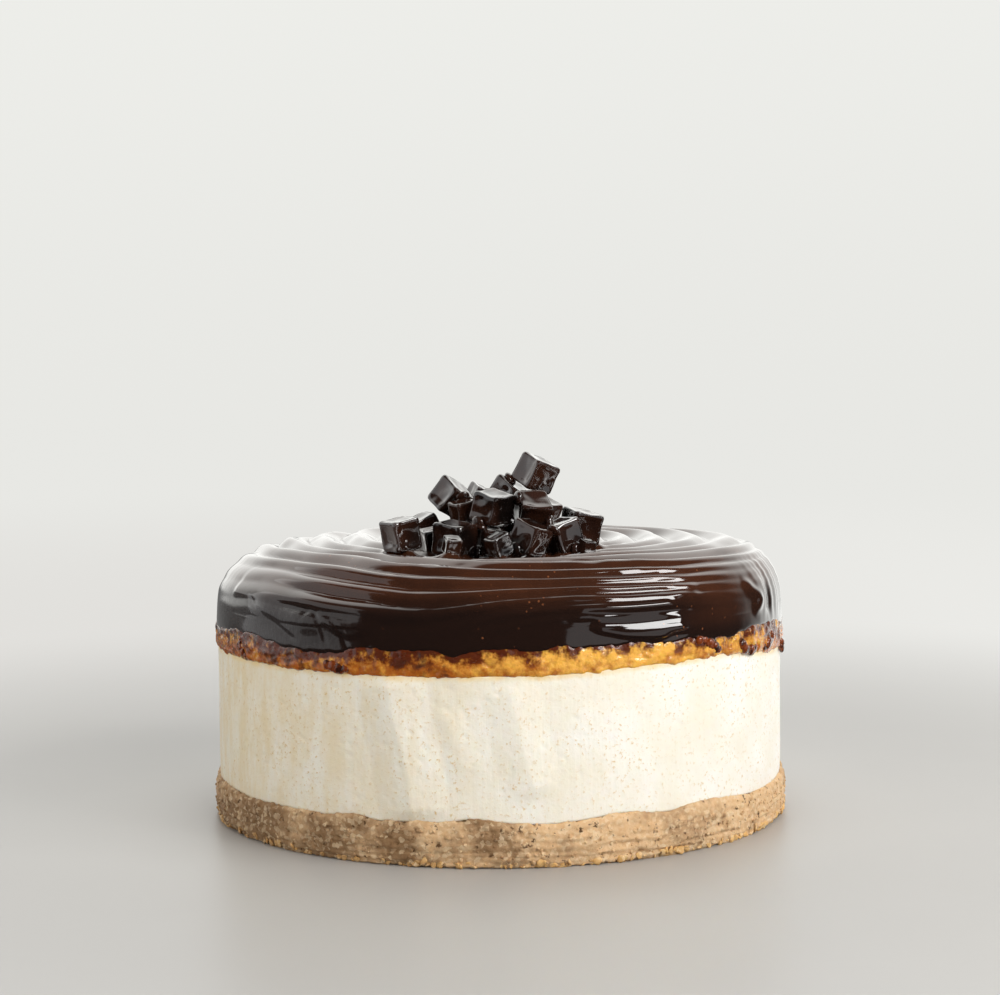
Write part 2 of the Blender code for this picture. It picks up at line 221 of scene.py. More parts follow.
@dataclass
class CakeForm:
    """The cake's shape by its solids' formulas, with closer and sharper comb strokes on the shoulder."""

    gap: float = 0.3 * MM
    base_top_height: float = 10.4 * MM
    base_radius: float = 75.7 * MM
    cream_top_height: float = 45.0 * MM
    cream_radius: float = 75.0 * MM
    caramel_top_height: float = 51.4 * MM
    caramel_radius: float = 75.3 * MM
    top_height: float = 70.0 * MM
    radius: float = 75.0 * MM
    flat_radius: float = 66.0 * MM
    reach: float = 13.8 * MM
    reach_left: float = 3.2 * MM
    reach_front: float = 1.0 * MM
    drop: float = 14.0 * MM
    spacing: float = 9.3 * MM
    left_centre: tuple[float, float] = (36.0 * MM, 28.0 * MM)
    left_arc: float = 94.0 * MM
    right_centre: tuple[float, float] = (8.0 * MM, 13.0 * MM)
    right_arc: float = 72.8 * MM
    blend_half_width: float = 35.0 * MM
    ridge_height: float = 1.9 * MM
    ridge_height_left: float = 0.5 * MM
    valley_rounding: float = 0.08
    crest_rounding: float = 0.36
    ridge_level: float = 0.36
    valley_place: float = 0.45  # of a stroke outwards from its crest
    ridge_gain: float = 1.8
    ridge_ends: float = 0.85  # how much of the ridges is lost over the shoulder at the cake's two ends
    quiet_azimuth: float = -135.0
    quiet_half_width: float = 42.0
    quiet_share: float = 0.4
    quiet_from: float = 0.55  # of the radius
    quiet_fade: float = 0.2
    unroll_left: float = 1.5
    unroll_right: float = 3.7
    unroll_from: float = -24.0 * MM
    unroll_width: float = 42.0 * MM
    wobble: float = 0.22  # of a stroke
    wobble_size: float = 17.0 * MM
    patch_share: float = 0.3  # how much the ridges' height changes from patch to patch
    patch_size: float = 23.0 * MM
    patch_level: float = 20.0 * MM
    dent_centre: tuple[float, float] = (-1.0 * MM, -23.0 * MM)
    dent_radius: float = 31.0 * MM
    dent_depth: float = 1.8 * MM
    dent_slope: float = 1.5
    dent_calm: float = 0.6  # how much of the ridges is lost under the heap
    base_wave: Wave = Wave(0.5 * MM, 34, 1)
    cream_wave: Wave = Wave(1.0 * MM, 16, 2)
    cream_drop: float = 0.4 * MM
    cream_rise: tuple[float, float, float] = (34.0, 24.0, 1.8 * MM)
    caramel_wave: Wave = Wave(0.9 * MM, 26, 3)
    lip_waves: tuple[Wave, ...] = (Wave(0.6 * MM, 64, 30), Wave(0.45 * MM, 130, 31), Wave(0.3 * MM, 240, 32))
    lip_tuck: float = 0.2 * MM
    lip_sag: float = 0.6
    # Where the ganache sags over the caramel: azimuth, half width in degrees, and depth.
    sags: tuple[tuple[float, float, float], ...] = (
        (-36.0, 12.0, 3.6 * MM),
        (-20.0, 7.0, 2.6 * MM),
        (-8.0, 3.4, 2.6 * MM),
        (5.5, 3.0, 2.0 * MM),
        (31.5, 4.0, 1.6 * MM),
        (42.5, 3.0, 3.2 * MM),
        (49.0, 3.5, 2.2 * MM),
    )
    # Lumps along the base's top edge: azimuth, half width in degrees, and height.
    lumps: tuple[tuple[float, float, float], ...] = (
        (-28.0, 4.0, 1.1 * MM),
        (-5.5, 4.5, 1.2 * MM),
        (22.0, 7.0, 1.5 * MM),
        (45.0, 7.0, 1.3 * MM),
        (100.0, 8.0, 1.2 * MM),
        (150.0, 10.0, 1.4 * MM),
        (-110.0, 9.0, 1.3 * MM),
        (-160.0, 6.0, 1.0 * MM),
    )
    # Folds where the ganache slumped: azimuth, height, half sizes round and up, and how far each stands out.
    folds: tuple[tuple[float, float, float, float, float], ...] = (
        (-52.0, 59.5 * MM, 7.0, 3.0 * MM, 0.9 * MM),
        (-38.0, 57.0 * MM, 6.0, 4.0 * MM, 0.8 * MM),
        (-27.0, 58.5 * MM, 5.0, 3.0 * MM, 0.7 * MM),
        (27.0, 61.0 * MM, 12.0, 1.6 * MM, 0.7 * MM),
        (36.0, 55.0 * MM, 8.0, 1.6 * MM, 0.6 * MM),
        (62.0, 60.0 * MM, 3.0, 5.0 * MM, 0.8 * MM),
        (118.0, 58.0 * MM, 14.0, 2.4 * MM, 0.8 * MM),
        (165.0, 60.0 * MM, 10.0, 3.0 * MM, 0.7 * MM),
        (-130.0, 57.0 * MM, 12.0, 2.6 * MM, 0.8 * MM),
    )
    hidden_sags: int = 13
    hidden_sag_depth: tuple[float, float] = (1.4 * MM, 3.4 * MM)
    hidden_sag_width: tuple[float, float] = (3.0, 9.0)
    hidden_sag_seed: int = 11

    def __post_init__(self) -> None:
        """Adds the sags on the side away from the front, spread by a rule with seeded sizes."""
        draw = random.Random(self.hidden_sag_seed)
        first, span = 72.0, 216.0
        for k in range(self.hidden_sags):
            place = first + span * (k + draw.uniform(0.2, 0.8)) / self.hidden_sags
            sag = (place, draw.uniform(*self.hidden_sag_width), draw.uniform(*self.hidden_sag_depth))
            self.sags += (sag,)

    def edge_blend(self, radius: np.ndarray) -> np.ndarray:
        """0 on the level inside and 1 at the side: how much of a wavy edge reaches in."""
        return np.clip((radius - self.flat_radius) / (self.cream_radius - self.flat_radius), 0.0, 1.04)

    def base_top(self, azimuth: np.ndarray, radius: np.ndarray) -> np.ndarray:
        """Height of the crumb base's top."""
        lumps = sum(high * bump(turn_between(azimuth, at), wide) for at, wide, high in self.lumps)
        return self.base_top_height + self.edge_blend(radius) * (lumps + self.base_wave.at(azimuth))

    def cream_top(self, azimuth: np.ndarray, radius: np.ndarray) -> np.ndarray:
        """Height of the cream's top."""
        place, wide, high = self.cream_rise
        rise = high * bump(turn_between(azimuth, place), wide) - self.cream_drop
        return self.cream_top_height + self.edge_blend(radius) * (rise + self.cream_wave.at(azimuth))

    def sag(self, azimuth: np.ndarray) -> np.ndarray:
        """How far the ganache sags."""
        return np.max([deep * bump(turn_between(azimuth, at), wide) for at, wide, deep in self.sags], axis=0)

    def caramel_top(self, azimuth: np.ndarray, radius: np.ndarray) -> np.ndarray:
        """Height of the caramel's top, under the sagging ganache."""
        wave = self.caramel_wave.at(azimuth) - self.sag(azimuth)
        return self.caramel_top_height + self.edge_blend(radius) * wave

    def lip(self, azimuth: np.ndarray) -> np.ndarray:
        """Height of the ganache's ragged lower edge on the cake's side."""
        ragged = sum(wave.at(azimuth) for wave in (self.caramel_wave, *self.lip_waves))
        return self.caramel_top_height - self.lip_tuck + ragged - self.lip_sag * self.sag(azimuth)

    def shoulder_reach(self, azimuth: np.ndarray) -> np.ndarray:
        """How far in the rounded shoulder starts."""
        angle = np.radians(azimuth)
        return self.reach - self.reach_left * np.sin(angle) + self.reach_front * np.cos(angle)

    def shoulder_drop(self, azimuth: np.ndarray, radius: np.ndarray) -> np.ndarray:
        """How far the smooth shape has fallen below the flat top at this radius."""
        reach = self.shoulder_reach(azimuth)
        share = np.clip((radius - self.radius + reach) / reach, 0.0, 1.0)
        return self.drop * (1.0 - np.sqrt(1.0 - share * share))

    def unroll(self, x: np.ndarray) -> np.ndarray:
        """How much each millimetre down the shoulder counts across the strokes."""
        share = smooth_step((x - self.unroll_from) / self.unroll_width)
        return self.unroll_left + (self.unroll_right - self.unroll_left) * share

    def comb_path(self, x: np.ndarray, y: np.ndarray) -> np.ndarray:
        """The distance across the comb's strokes, in strokes. Whole numbers are crests."""
        radius = np.maximum(np.hypot(x, y), 1e-6)
        azimuth = np.degrees(np.arctan2(x, -y))
        longer = (radius + self.unroll(x) * self.shoulder_drop(azimuth, radius)) / radius
        ux, uy = x * longer, y * longer
        left = np.hypot(ux - self.left_centre[0], uy - self.left_centre[1]) - self.left_arc
        right = np.hypot(ux - self.right_centre[0], uy - self.right_centre[1]) - self.right_arc
        share = smooth_step(0.5 + 0.5 * x / self.blend_half_width)
        wobble = self.wobble * noise_at(x / self.wobble_size, y / self.wobble_size, 0.0)
        return (left + share * (right - left)) / self.spacing + wobble

    def ridge(self, x: np.ndarray, y: np.ndarray) -> np.ndarray:
        """Height of the combed ridges above and below the smooth top."""
        way = self.comb_path(x, y) % 1.0
        valley = self.valley_place
        rise = np.where(way < valley, 1.0 - way / valley, 1.0 - (1.0 - way) / (1.0 - valley))
        rise = np.hypot(rise, self.valley_rounding)
        crest = 1.0 - np.hypot(1.0 - rise, self.crest_rounding)
        azimuth = np.degrees(np.arctan2(x, -y))
        outside = np.hypot(x, y) - self.quiet_from * self.radius
        quiet = self.quiet_share * smooth_step(outside / (self.quiet_fade * self.radius))
        quiet = quiet * bump(turn_between(azimuth, self.quiet_azimuth), self.quiet_half_width)
        strength = self.ridge_height - self.ridge_height_left * x / self.radius
        place = [value / self.patch_size for value in (x, y, self.patch_level)]
        patch = 1.0 + self.patch_share * noise_at(*place)
        return (crest - self.ridge_level) * self.ridge_gain * strength * patch * (1.0 - quiet)

    def dent(self, x: np.ndarray, y: np.ndarray) -> np.ndarray:
        """1 under the middle of the heap and 0 outside it."""
        off = np.hypot(x - self.dent_centre[0], y - self.dent_centre[1])
        return smooth_step(self.dent_slope * (1.0 - off / self.dent_radius))

    def ganache_top(self, x: np.ndarray, y: np.ndarray) -> np.ndarray:
        """Height of the ganache inside its shoulder."""
        dent = self.dent(x, y)
        return self.top_height + self.ridge(x, y) * (1.0 - self.dent_calm * dent) - self.dent_depth * dent

    def fold(self, azimuth: np.ndarray, height: np.ndarray) -> np.ndarray:
        """How far the slumped folds stand out of the side."""
        return sum(
            out * bump(turn_between(azimuth, at), wide) * bump(height - up, tall)
            for at, up, wide, tall, out in self.folds
        )


class Weaver:
    """Builds one node tree, for a material, a world or a modifier."""

    def __init__(self, tree: bpy.types.NodeTree) -> None:
        """Takes the tree to build in."""
        self.tree = tree

    def add(self, kind: str, inputs: dict | None = None, **settings: object) -> bpy.types.Node:
        """Adds a node.

        Args:
            kind: the node's type name.
            inputs: values or other nodes' sockets, by input name or number.
            **settings: the node's own options.

        Returns:
            The new node.
        """
        made = self.tree.nodes.new(kind)
        for name, value in settings.items():
            setattr(made, name, value)
        for key, value in (inputs or {}).items():
            if isinstance(value, bpy.types.NodeSocket):
                self.tree.links.new(value, made.inputs[key])
            else:
                made.inputs[key].default_value = value
        return made

    def math(self, operation: str, a: object, b: object = 0.0, c: object = 0.0) -> bpy.types.NodeSocket:
        """A sum or other operation on up to three values."""
        return self.add("ShaderNodeMath", {0: a, 1: b, 2: c}, operation=operation).outputs[0]

    def fit(
        self, value: object, low: float, high: float, to_low: float = 0.0, to_high: float = 1.0
    ) -> bpy.types.NodeSocket:
        """The value taken smoothly from one range to another."""
        inputs = {"Value": value, "From Min": low, "From Max": high, "To Min": to_low, "To Max": to_high}
        node = self.add("ShaderNodeMapRange", inputs, interpolation_type="SMOOTHSTEP")
        return node.outputs["Result"]

    def mix(self, share: object, a: object, b: object, blend: str = "MIX") -> bpy.types.NodeSocket:
        """A colour between two, by share."""
        inputs = {0: share, 6: a, 7: b}
        return self.add("ShaderNodeMix", inputs, data_type="RGBA", blend_type=blend).outputs[2]

    def noise(self, where: object, scale: float, detail: float = 4.0, rough: float = 0.55) -> object:
        """Smooth noise between 0 and 1, with lumps 1 / scale wide."""
        inputs = {"Vector": where, "Scale": scale, "Detail": detail, "Roughness": rough}
        return self.add("ShaderNodeTexNoise", inputs).outputs[0]

    def cells(self, where: object, scale: float, output: str = "Distance", **settings: object) -> object:
        """A pattern of uneven cells: the distance to the nearest middle, or each cell's own colour."""
        inputs = {"Vector": where, "Scale": scale}
        return self.add("ShaderNodeTexVoronoi", inputs, **settings).outputs[output]

    def stretched(self, where: object, scale: tuple[float, float, float]) -> bpy.types.NodeSocket:
        """Coordinates scaled along each axis, for streaks."""
        return self.add("ShaderNodeMapping", {"Vector": where, "Scale": scale}).outputs[0]

    def coordinates(self) -> bpy.types.NodeSocket:
        """Object coordinates."""
        return self.add("ShaderNodeTexCoord").outputs["Object"]

    def attribute(self, name: str) -> bpy.types.NodeSocket:
        """A value stored on the mesh's points."""
        return self.add("ShaderNodeAttribute", attribute_name=name).outputs["Fac"]

    def height(self, value: object, distance: float, strength: float = 1.0, over: object = None) -> object:
        """A bump from a value, over another bump where one is given."""
        inputs = {"Strength": strength, "Distance": distance, "Height": value}
        if over is not None:
            inputs["Normal"] = over
        return self.add("ShaderNodeBump", inputs).outputs[0]


def soft_inputs(weight: float, radius: tuple[float, float, float], scale: float) -> dict:
    """A shader's inputs for light that goes a little way into the surface."""
    return {"Subsurface Weight": weight, "Subsurface Radius": radius, "Subsurface Scale": scale}


def coat_inputs(weight: float, roughness: float) -> dict:
    """A shader's inputs for a wet coat."""
    return {"Coat Weight": weight, "Coat Roughness": roughness}


@dataclass(frozen=True)
class Finish:
    """A surface finish: a name and a Principled shader whose inputs the kinds of finish fill in."""

    name: str = "finish"

    def material(self) -> bpy.types.Material:
        """The material, built once.

        Returns:
            The material with this finish's nodes.
        """
        title = f"{self.name}_finish"
        made = bpy.data.materials.get(title)
        if made is None:
            made = bpy.data.materials.new(title)
            made.use_nodes = True
            weaver = Weaver(made.node_tree)
            self.weave(weaver, made.node_tree.nodes["Principled BSDF"])
        return made

    def weave(self, weaver: Weaver, shader: bpy.types.Node) -> None:
        """Links the finish's nodes to the shader."""
        raise NotImplementedError

    @staticmethod
    def set_inputs(weaver: Weaver, shader: bpy.types.Node, inputs: dict) -> None:
        """Sets or links the shader's inputs by name."""
        for name, value in inputs.items():
            if isinstance(value, bpy.types.NodeSocket):
                weaver.tree.links.new(value, shader.inputs[name])
            else:
                shader.inputs[name].default_value = value


@dataclass(frozen=True)
class CrumbFinish(Finish):
    """Pressed biscuit: pale grains and dark pits in a light brown paste, with painted shade in the pits and
    painted light on the right.
    """

    name: str = "biscuit_crumb"
    paste: tuple = (0.31, 0.188, 0.092, 1.0)
    toasted: tuple = (0.72, 0.50, 0.29, 1.0)
    grain: tuple = (0.82, 0.67, 0.46, 1.0)
    pit: tuple = (0.13, 0.065, 0.025, 1.0)
    blush: tuple = (0.55, 0.24, 0.16, 1.0)

    def weave(self, weaver: Weaver, shader: bpy.types.Node) -> None:
        """Links the finish's nodes to the shader."""
        where = weaver.coordinates()
        broad = weaver.noise(where, 75.0, 4.0, 0.6)
        fine = weaver.noise(where, 900.0, 5.0, 0.7)
        cell = weaver.cells(where, 1000.0, "Color")
        grey = weaver.add("ShaderNodeSeparateColor", {0: cell}).outputs[0]
        # Painted light over random toasting: the paste turns paler and more toasted where the painted_light
        # values are high, most on the lit right.
        toast_and_light = weaver.math("ADD", broad, weaver.math("MULTIPLY", weaver.attribute("painted_light"), 0.22))
        colour = weaver.mix(weaver.fit(toast_and_light, 0.43, 0.72), self.paste, self.toasted)
        colour = weaver.mix(weaver.fit(grey, 0.55, 1.0, 0.0, 0.5), colour, self.grain)
        # Painted shade: dark patches stand for the shade in the crumb's small pits; they do not follow the
        # relief's own pits.
        pits = weaver.fit(weaver.noise(where, 520.0, 4.0, 0.6), 0.60, 0.70)
        colour = weaver.mix(pits, colour, self.pit)
        blushes = weaver.fit(weaver.noise(where, 60.0, 2.0), 0.66, 0.80, 0.0, 0.35)
        colour = weaver.mix(blushes, colour, self.blush)
        colour = weaver.mix(weaver.fit(fine, 0.25, 0.75, 0.0, 0.5), colour, self.pit, "SOFT_LIGHT")
        normal = weaver.height(fine, 0.35 * MM, 0.7)
        inputs = {"Base Color": colour, "Normal": normal, "Roughness": 0.78}
        inputs |= soft_inputs(0.08, (0.9, 0.5, 0.25), 1.0 * MM)
        self.set_inputs(weaver, shader, inputs)


@dataclass(frozen=True)
class CreamFinish(Finish):
    """Set cream: soft, finely pored, with upright knife streaks and yellow specks, and a left side painted
    darker yellow, partly as shade.
    """

    name: str = "cream"
    body: tuple = (0.88, 0.83, 0.71, 1.0)
    pale: tuple = (0.93, 0.91, 0.85, 1.0)
    # warm is the darker yellow of the left side: partly a stain and partly painted shade and warm bounce
    # light.
    warm: tuple = (0.82, 0.69, 0.46, 1.0)
    speck: tuple = (0.66, 0.44, 0.13, 1.0)
    bleed: tuple = (0.86, 0.62, 0.27, 1.0)

    def weave(self, weaver: Weaver, shader: bpy.types.Node) -> None:
        """Links the finish's nodes to the shader."""
        where = weaver.coordinates()
        streaks = weaver.noise(weaver.stretched(where, (1.0, 1.0, 0.06)), 700.0, 3.0)
        pores = weaver.noise(where, 1150.0, 3.0, 0.6)
        patch = weaver.noise(where, 60.0, 3.0)
        colour = weaver.mix(weaver.fit(patch, 0.3, 0.7), self.body, self.pale)
        upright = weaver.stretched(where, (1.0, 1.0, 0.3))
        mottle = weaver.fit(weaver.noise(upright, 260.0, 4.0, 0.6), 0.3, 0.7, 0.3, 1.0)
        # Partly stain, partly painted shade: the cream turns darker and yellower where the painted_light
        # values are high, on its left.
        colour = weaver.mix(weaver.math("MULTIPLY", weaver.attribute("painted_light"), mottle), colour, self.warm)
        speckled = weaver.fit(patch, 0.35, 0.6, 0.2, 0.75)
        specks = weaver.math("MULTIPLY", weaver.fit(pores, 0.56, 0.72), speckled)
        colour = weaver.mix(specks, colour, self.speck)
        edge = weaver.attribute("share")
        stain = weaver.math("MULTIPLY", weaver.fit(edge, 0.93, 1.0), weaver.noise(where, 240.0, 3.0))
        colour = weaver.mix(weaver.fit(stain, 0.1, 0.75, 0.0, 0.9), colour, self.bleed)
        normal = weaver.height(streaks, 0.25 * MM, 0.4)
        normal = weaver.height(pores, 0.25 * MM, 0.35, normal)
        inputs = {"Base Color": colour, "Normal": normal, "Roughness": 0.52}
        inputs |= soft_inputs(0.2, (1.0, 0.7, 0.4), 1.2 * MM)
        self.set_inputs(weaver, shader, inputs)


@dataclass(frozen=True)
class CaramelFinish(Finish):
    """Wet caramel: yellow-orange lumps, darker where the ganache stained it and, as painted shade, under the
    ganache's lip.
    """

    name: str = "caramel"
    amber: tuple = (0.40, 0.105, 0.009, 1.0)
    yellow: tuple = (0.87, 0.46, 0.08, 1.0)
    # The dark brown painted as shade along the band's top, under the ganache's lip.
    lip_shade: tuple = (0.10, 0.018, 0.004, 1.0)
    smear: tuple = (0.06, 0.022, 0.012, 1.0)

    def weave(self, weaver: Weaver, shader: bpy.types.Node) -> None:
        """Links the finish's nodes to the shader."""
        where = weaver.coordinates()
        lumps = weaver.noise(where, 240.0, 5.0, 0.62)
        fine = weaver.noise(where, 900.0, 3.0)
        held = weaver.attribute("stain")
        tone = weaver.math("SUBTRACT", lumps, weaver.math("MULTIPLY", held, 0.21))
        colour = weaver.mix(weaver.fit(tone, 0.26, 0.56), self.amber, self.yellow)
        # Painted shade: the band's top is darkened where it tucks under the ganache's lip, and further where
        # it is stained.
        edge = weaver.math("ADD", weaver.attribute("share"), weaver.fit(lumps, 0.3, 0.7, 0.35, -0.35))
        edge = weaver.math("ADD", edge, weaver.math("MULTIPLY", held, 0.30))
        colour = weaver.mix(weaver.fit(edge, 0.60, 1.05), colour, self.lip_shade)
        stain = weaver.math("MULTIPLY", held, weaver.noise(where, 260.0, 4.0, 0.65))
        colour = weaver.mix(weaver.fit(stain, 0.44, 0.62, 0.0, 0.8), colour, self.smear)
        normal = weaver.height(fine, 0.5 * MM, 0.6)
        rough = weaver.fit(lumps, 0.3, 0.7, 0.30, 0.08)
        inputs = {"Base Color": colour, "Normal": normal, "Roughness": rough}
        inputs |= soft_inputs(0.3, (1.0, 0.35, 0.08), 1.5 * MM) | coat_inputs(0.45, 0.05)
        self.set_inputs(weaver, shader, inputs)


@dataclass(frozen=True)
class DripFinish(Finish):
    """Ganache run into caramel: thick, wet and dark red-brown."""

    name: str = "caramel_drip"
    deep: tuple = (0.035, 0.008, 0.003, 1.0)
    red: tuple = (0.20, 0.04, 0.007, 1.0)

    def weave(self, weaver: Weaver, shader: bpy.types.Node) -> None:
        """Links the finish's nodes to the shader."""
        tone = weaver.noise(weaver.coordinates(), 420.0, 3.0)
        colour = weaver.mix(weaver.fit(tone, 0.4, 0.62), self.deep, self.red)
        inputs = {"Base Color": colour, "Roughness": 0.12} | coat_inputs(0.6, 0.05)
        self.set_inputs(weaver, shader, inputs)


@dataclass(frozen=True)
class GanacheFinish(Finish):
    """Dark glossy ganache: painted light browns its top and right end, its side stays dark as painted shade,
    and it is dull where it wrinkled.
    """

    name: str = "ganache"
    # dark is the ganache painted in shade and brown the ganache painted in light: one chocolate in two
    # lights.
    dark: tuple = (0.013, 0.0055, 0.0035, 1.0)
    brown: tuple = (0.056, 0.0185, 0.0083, 1.0)
    speck: tuple = (0.26, 0.09, 0.035, 1.0)

    def weave(self, weaver: Weaver, shader: bpy.types.Node) -> None:
        """Links the finish's nodes to the shader."""
        where = weaver.coordinates()
        painted_light, dull = weaver.attribute("painted_light"), weaver.attribute("dull")
        soft = weaver.noise(where, 70.0, 3.0)
        # Painted light: the ganache turns brown where the painted_light values say light falls on it.
        lit_share = weaver.math("MULTIPLY", painted_light, weaver.fit(soft, 0.3, 0.7, 0.6, 1.15))
        colour = weaver.mix(lit_share, self.dark, self.brown)
        dots = weaver.cells(where, 420.0)
        strewn = weaver.fit(weaver.noise(where, 45.0), 0.5, 0.66)
        gate = weaver.math("MULTIPLY", weaver.fit(dots, 0.13, 0.08), strewn)
        colour = weaver.mix(weaver.math("MULTIPLY", gate, 0.8), colour, self.speck)
        wrinkles = weaver.noise(weaver.stretched(where, (1.0, 1.0, 0.6)), 620.0, 5.0, 0.65)
        skin = weaver.noise(where, 160.0, 2.0)
        wet = weaver.fit(soft, 0.3, 0.7, 0.05, 0.10)
        rough = weaver.math("ADD", wet, weaver.math("MULTIPLY", dull, 0.28))
        normal = weaver.height(skin, 0.5 * MM, 0.06)
        normal = weaver.height(weaver.math("MULTIPLY", wrinkles, dull), 0.5 * MM, 0.5, normal)
        inputs = {"Base Color": colour, "Roughness": rough, "Normal": normal}
        inputs |= {"Specular IOR Level": 0.5} | coat_inputs(0.8, 0.05)
        self.set_inputs(weaver, shader, inputs)


@dataclass(frozen=True)
class ChocolateFinish(Finish):
    """Glazed dark chocolate of the cubes and of the glaze between them."""

    name: str = "chocolate"
    dark: tuple = (0.006, 0.004, 0.0035, 1.0)
    brown: tuple = (0.032, 0.0118, 0.0068, 1.0)

    def weave(self, weaver: Weaver, shader: bpy.types.Node) -> None:
        """Links the finish's nodes to the shader."""
        where = weaver.coordinates()
        patch = weaver.noise(where, 75.0, 2.0)
        fine = weaver.noise(where, 700.0, 3.0)
        colour = weaver.mix(weaver.fit(patch, 0.38, 0.62), self.dark, self.brown)
        normal = weaver.height(weaver.noise(where, 230.0, 1.0), 0.6 * MM, 0.45)
        rough = weaver.fit(fine, 0.3, 0.7, 0.05, 0.11)
        inputs = {"Base Color": colour, "Roughness": rough, "Normal": normal}
        inputs |= {"Specular IOR Level": 0.8, "Coat IOR": 1.6} | coat_inputs(1.0, 0.03)
        self.set_inputs(weaver, shader, inputs)


@dataclass(frozen=True)
class FloorFinish(Finish):
    """Pale satin floor that goes over into the backdrop's glow away from the cake, painted brighter on the
    right as window light.
    """

    name: str = "studio_floor"
    colour: tuple = (0.42, 0.41, 0.395, 1.0)
    worn: tuple = (0.38, 0.37, 0.355, 1.0)
    near: tuple = (0.757, 0.745, 0.717, 1.0)
    # The glow on the floor's right: painted light, where the window would light the floor.
    lit_right: tuple = (0.83, 0.825, 0.795, 1.0)
    far: tuple = (0.805, 0.805, 0.775, 1.0)
    fade: tuple[float, float] = (0.15, 0.42)
    rise: tuple[float, float] = (0.35, 1.5)

    def weave(self, weaver: Weaver, shader: bpy.types.Node) -> None:
        """Links the finish's nodes to the shader."""
        where = weaver.coordinates()
        length = weaver.add("ShaderNodeVectorMath", {0: where}, operation="LENGTH").outputs["Value"]
        grain = weaver.noise(where, 30.0)
        tint = weaver.mix(weaver.fit(grain, 0.3, 0.7, 0.0, 0.12), self.colour, self.worn)
        self.set_inputs(weaver, shader, {"Base Color": tint, "Roughness": 0.38})
        across = weaver.add("ShaderNodeSeparateXYZ", {0: where}).outputs[0]
        # Painted light: the glowing floor is made brighter towards the right, where the window falls.
        glow = weaver.mix(weaver.fit(across, -0.1, 0.25), self.near, self.lit_right)
        glow = weaver.mix(weaver.fit(length, *self.rise), glow, self.far)
        wall = weaver.add("ShaderNodeEmission", {"Color": glow}).outputs[0]
        inputs = {0: weaver.fit(length, *self.fade), 1: shader.outputs[0], 2: wall}
        mixed = weaver.add("ShaderNodeMixShader", inputs).outputs[0]
        weaver.tree.links.new(mixed, weaver.tree.nodes["Material Output"].inputs[0])


@dataclass
class Piece:
    """A finished mesh piece of the cake, and how it joins the scene."""

    name: str
    slot: str
    finish: Finish
    replaces: tuple[str, ...] = ()

    def from_mesh(self, mesh: bpy.types.Mesh) -> bpy.types.Object:
        """Makes the piece of a mesh and dresses it.

        Args:
            mesh: the piece's mesh, in place.

        Returns:
            The new object, riding on the cake.
        """
        mesh.name = self.name
        mesh.shade_smooth()
        mesh.materials.clear()
        mesh.materials.append(self.finish.material())
        made = bpy.data.objects.new(self.name, mesh)
        bpy.context.scene.collection.objects.link(made)
        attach(made, BODY)
        if self.replaces:
            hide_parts(*self.replaces)
        LOG.info("%s: %d faces", self.name, len(mesh.polygons))
        return made


def lofted_mesh(rings: np.ndarray, values: dict[str, np.ndarray]) -> bpy.types.Mesh:
    """A closed body from rings of points, the first the inner ring on top and the last the one below.

    Args:
        rings: points by ring, place round the ring and coordinate.
        values: named numbers for each point, by ring and place, that the finishes read.

    Returns:
        The mesh, with its top and its underside closed.
    """
    count, around = rings.shape[:2]
    index = np.arange(count * around).reshape(count, around)
    after = np.roll(index, -1, axis=1)
    quads = np.stack((index[:-1], index[1:], after[1:], after[:-1]), axis=-1).reshape(-1, 4)
    faces = quads.tolist() + [index[0].tolist(), index[-1, ::-1].tolist()]
    mesh = bpy.data.meshes.new("lofted")
    mesh.from_pydata(rings.reshape(-1, 3).tolist(), [], faces)
    for name, numbers in values.items():
        store(mesh, name, numbers)
    return mesh


def store(mesh: bpy.types.Mesh, name: str, numbers: np.ndarray) -> None:
    """Keeps one number for each of the mesh's points under a name that a finish reads."""
    layer = mesh.attributes.new(name, "FLOAT", "POINT")
    layer.data.foreach_set("value", np.ascontiguousarray(numbers, dtype=np.float32).ravel())


def above_floor(mesh: bpy.types.Mesh) -> np.ndarray:
    """Lifts the mesh's points that lie below the floor up to it, and gives back all its points."""
    place = points_of(mesh)
    place[:, 2] = np.maximum(place[:, 2], 0.0)
    mesh.vertices.foreach_set("co", place.ravel())
    return place


def modifier_weaver(title: str, sizes: tuple[str, ...], whole: tuple[str, ...] = ()) -> Weaver:
    """Starts a modifier's node tree that takes a mesh, a finish and numbers, and gives back a mesh.

    Args:
        title: the tree's name.
        sizes: the names of its inputs.
        whole: the names of its inputs that are whole numbers.

    Returns:
        A weaver on the new tree.
    """
    tree = bpy.data.node_groups.new(title, "GeometryNodeTree")
    sockets = [("Geometry", "INPUT", "Geometry"), ("Geometry", "OUTPUT", "Geometry")]
    sockets += [(name, "INPUT", "Float") for name in sizes]
    sockets += [(name, "INPUT", "Int") for name in whole]
    sockets += [("Finish", "INPUT", "Material")]
    for name, way, kind in sockets:
        tree.interface.new_socket(name, in_out=way, socket_type=f"NodeSocket{kind}")
    return Weaver(tree)


def inputs_of(finish: Finish, sizes: dict[str, float]) -> dict[str, object]:
    """A tree's inputs by name, from its finish and its sizes, whose names have _ for each space."""
    named = {name.replace("_", " ").capitalize(): value for name, value in sizes.items()}
    return named | {"Finish": finish.material()}


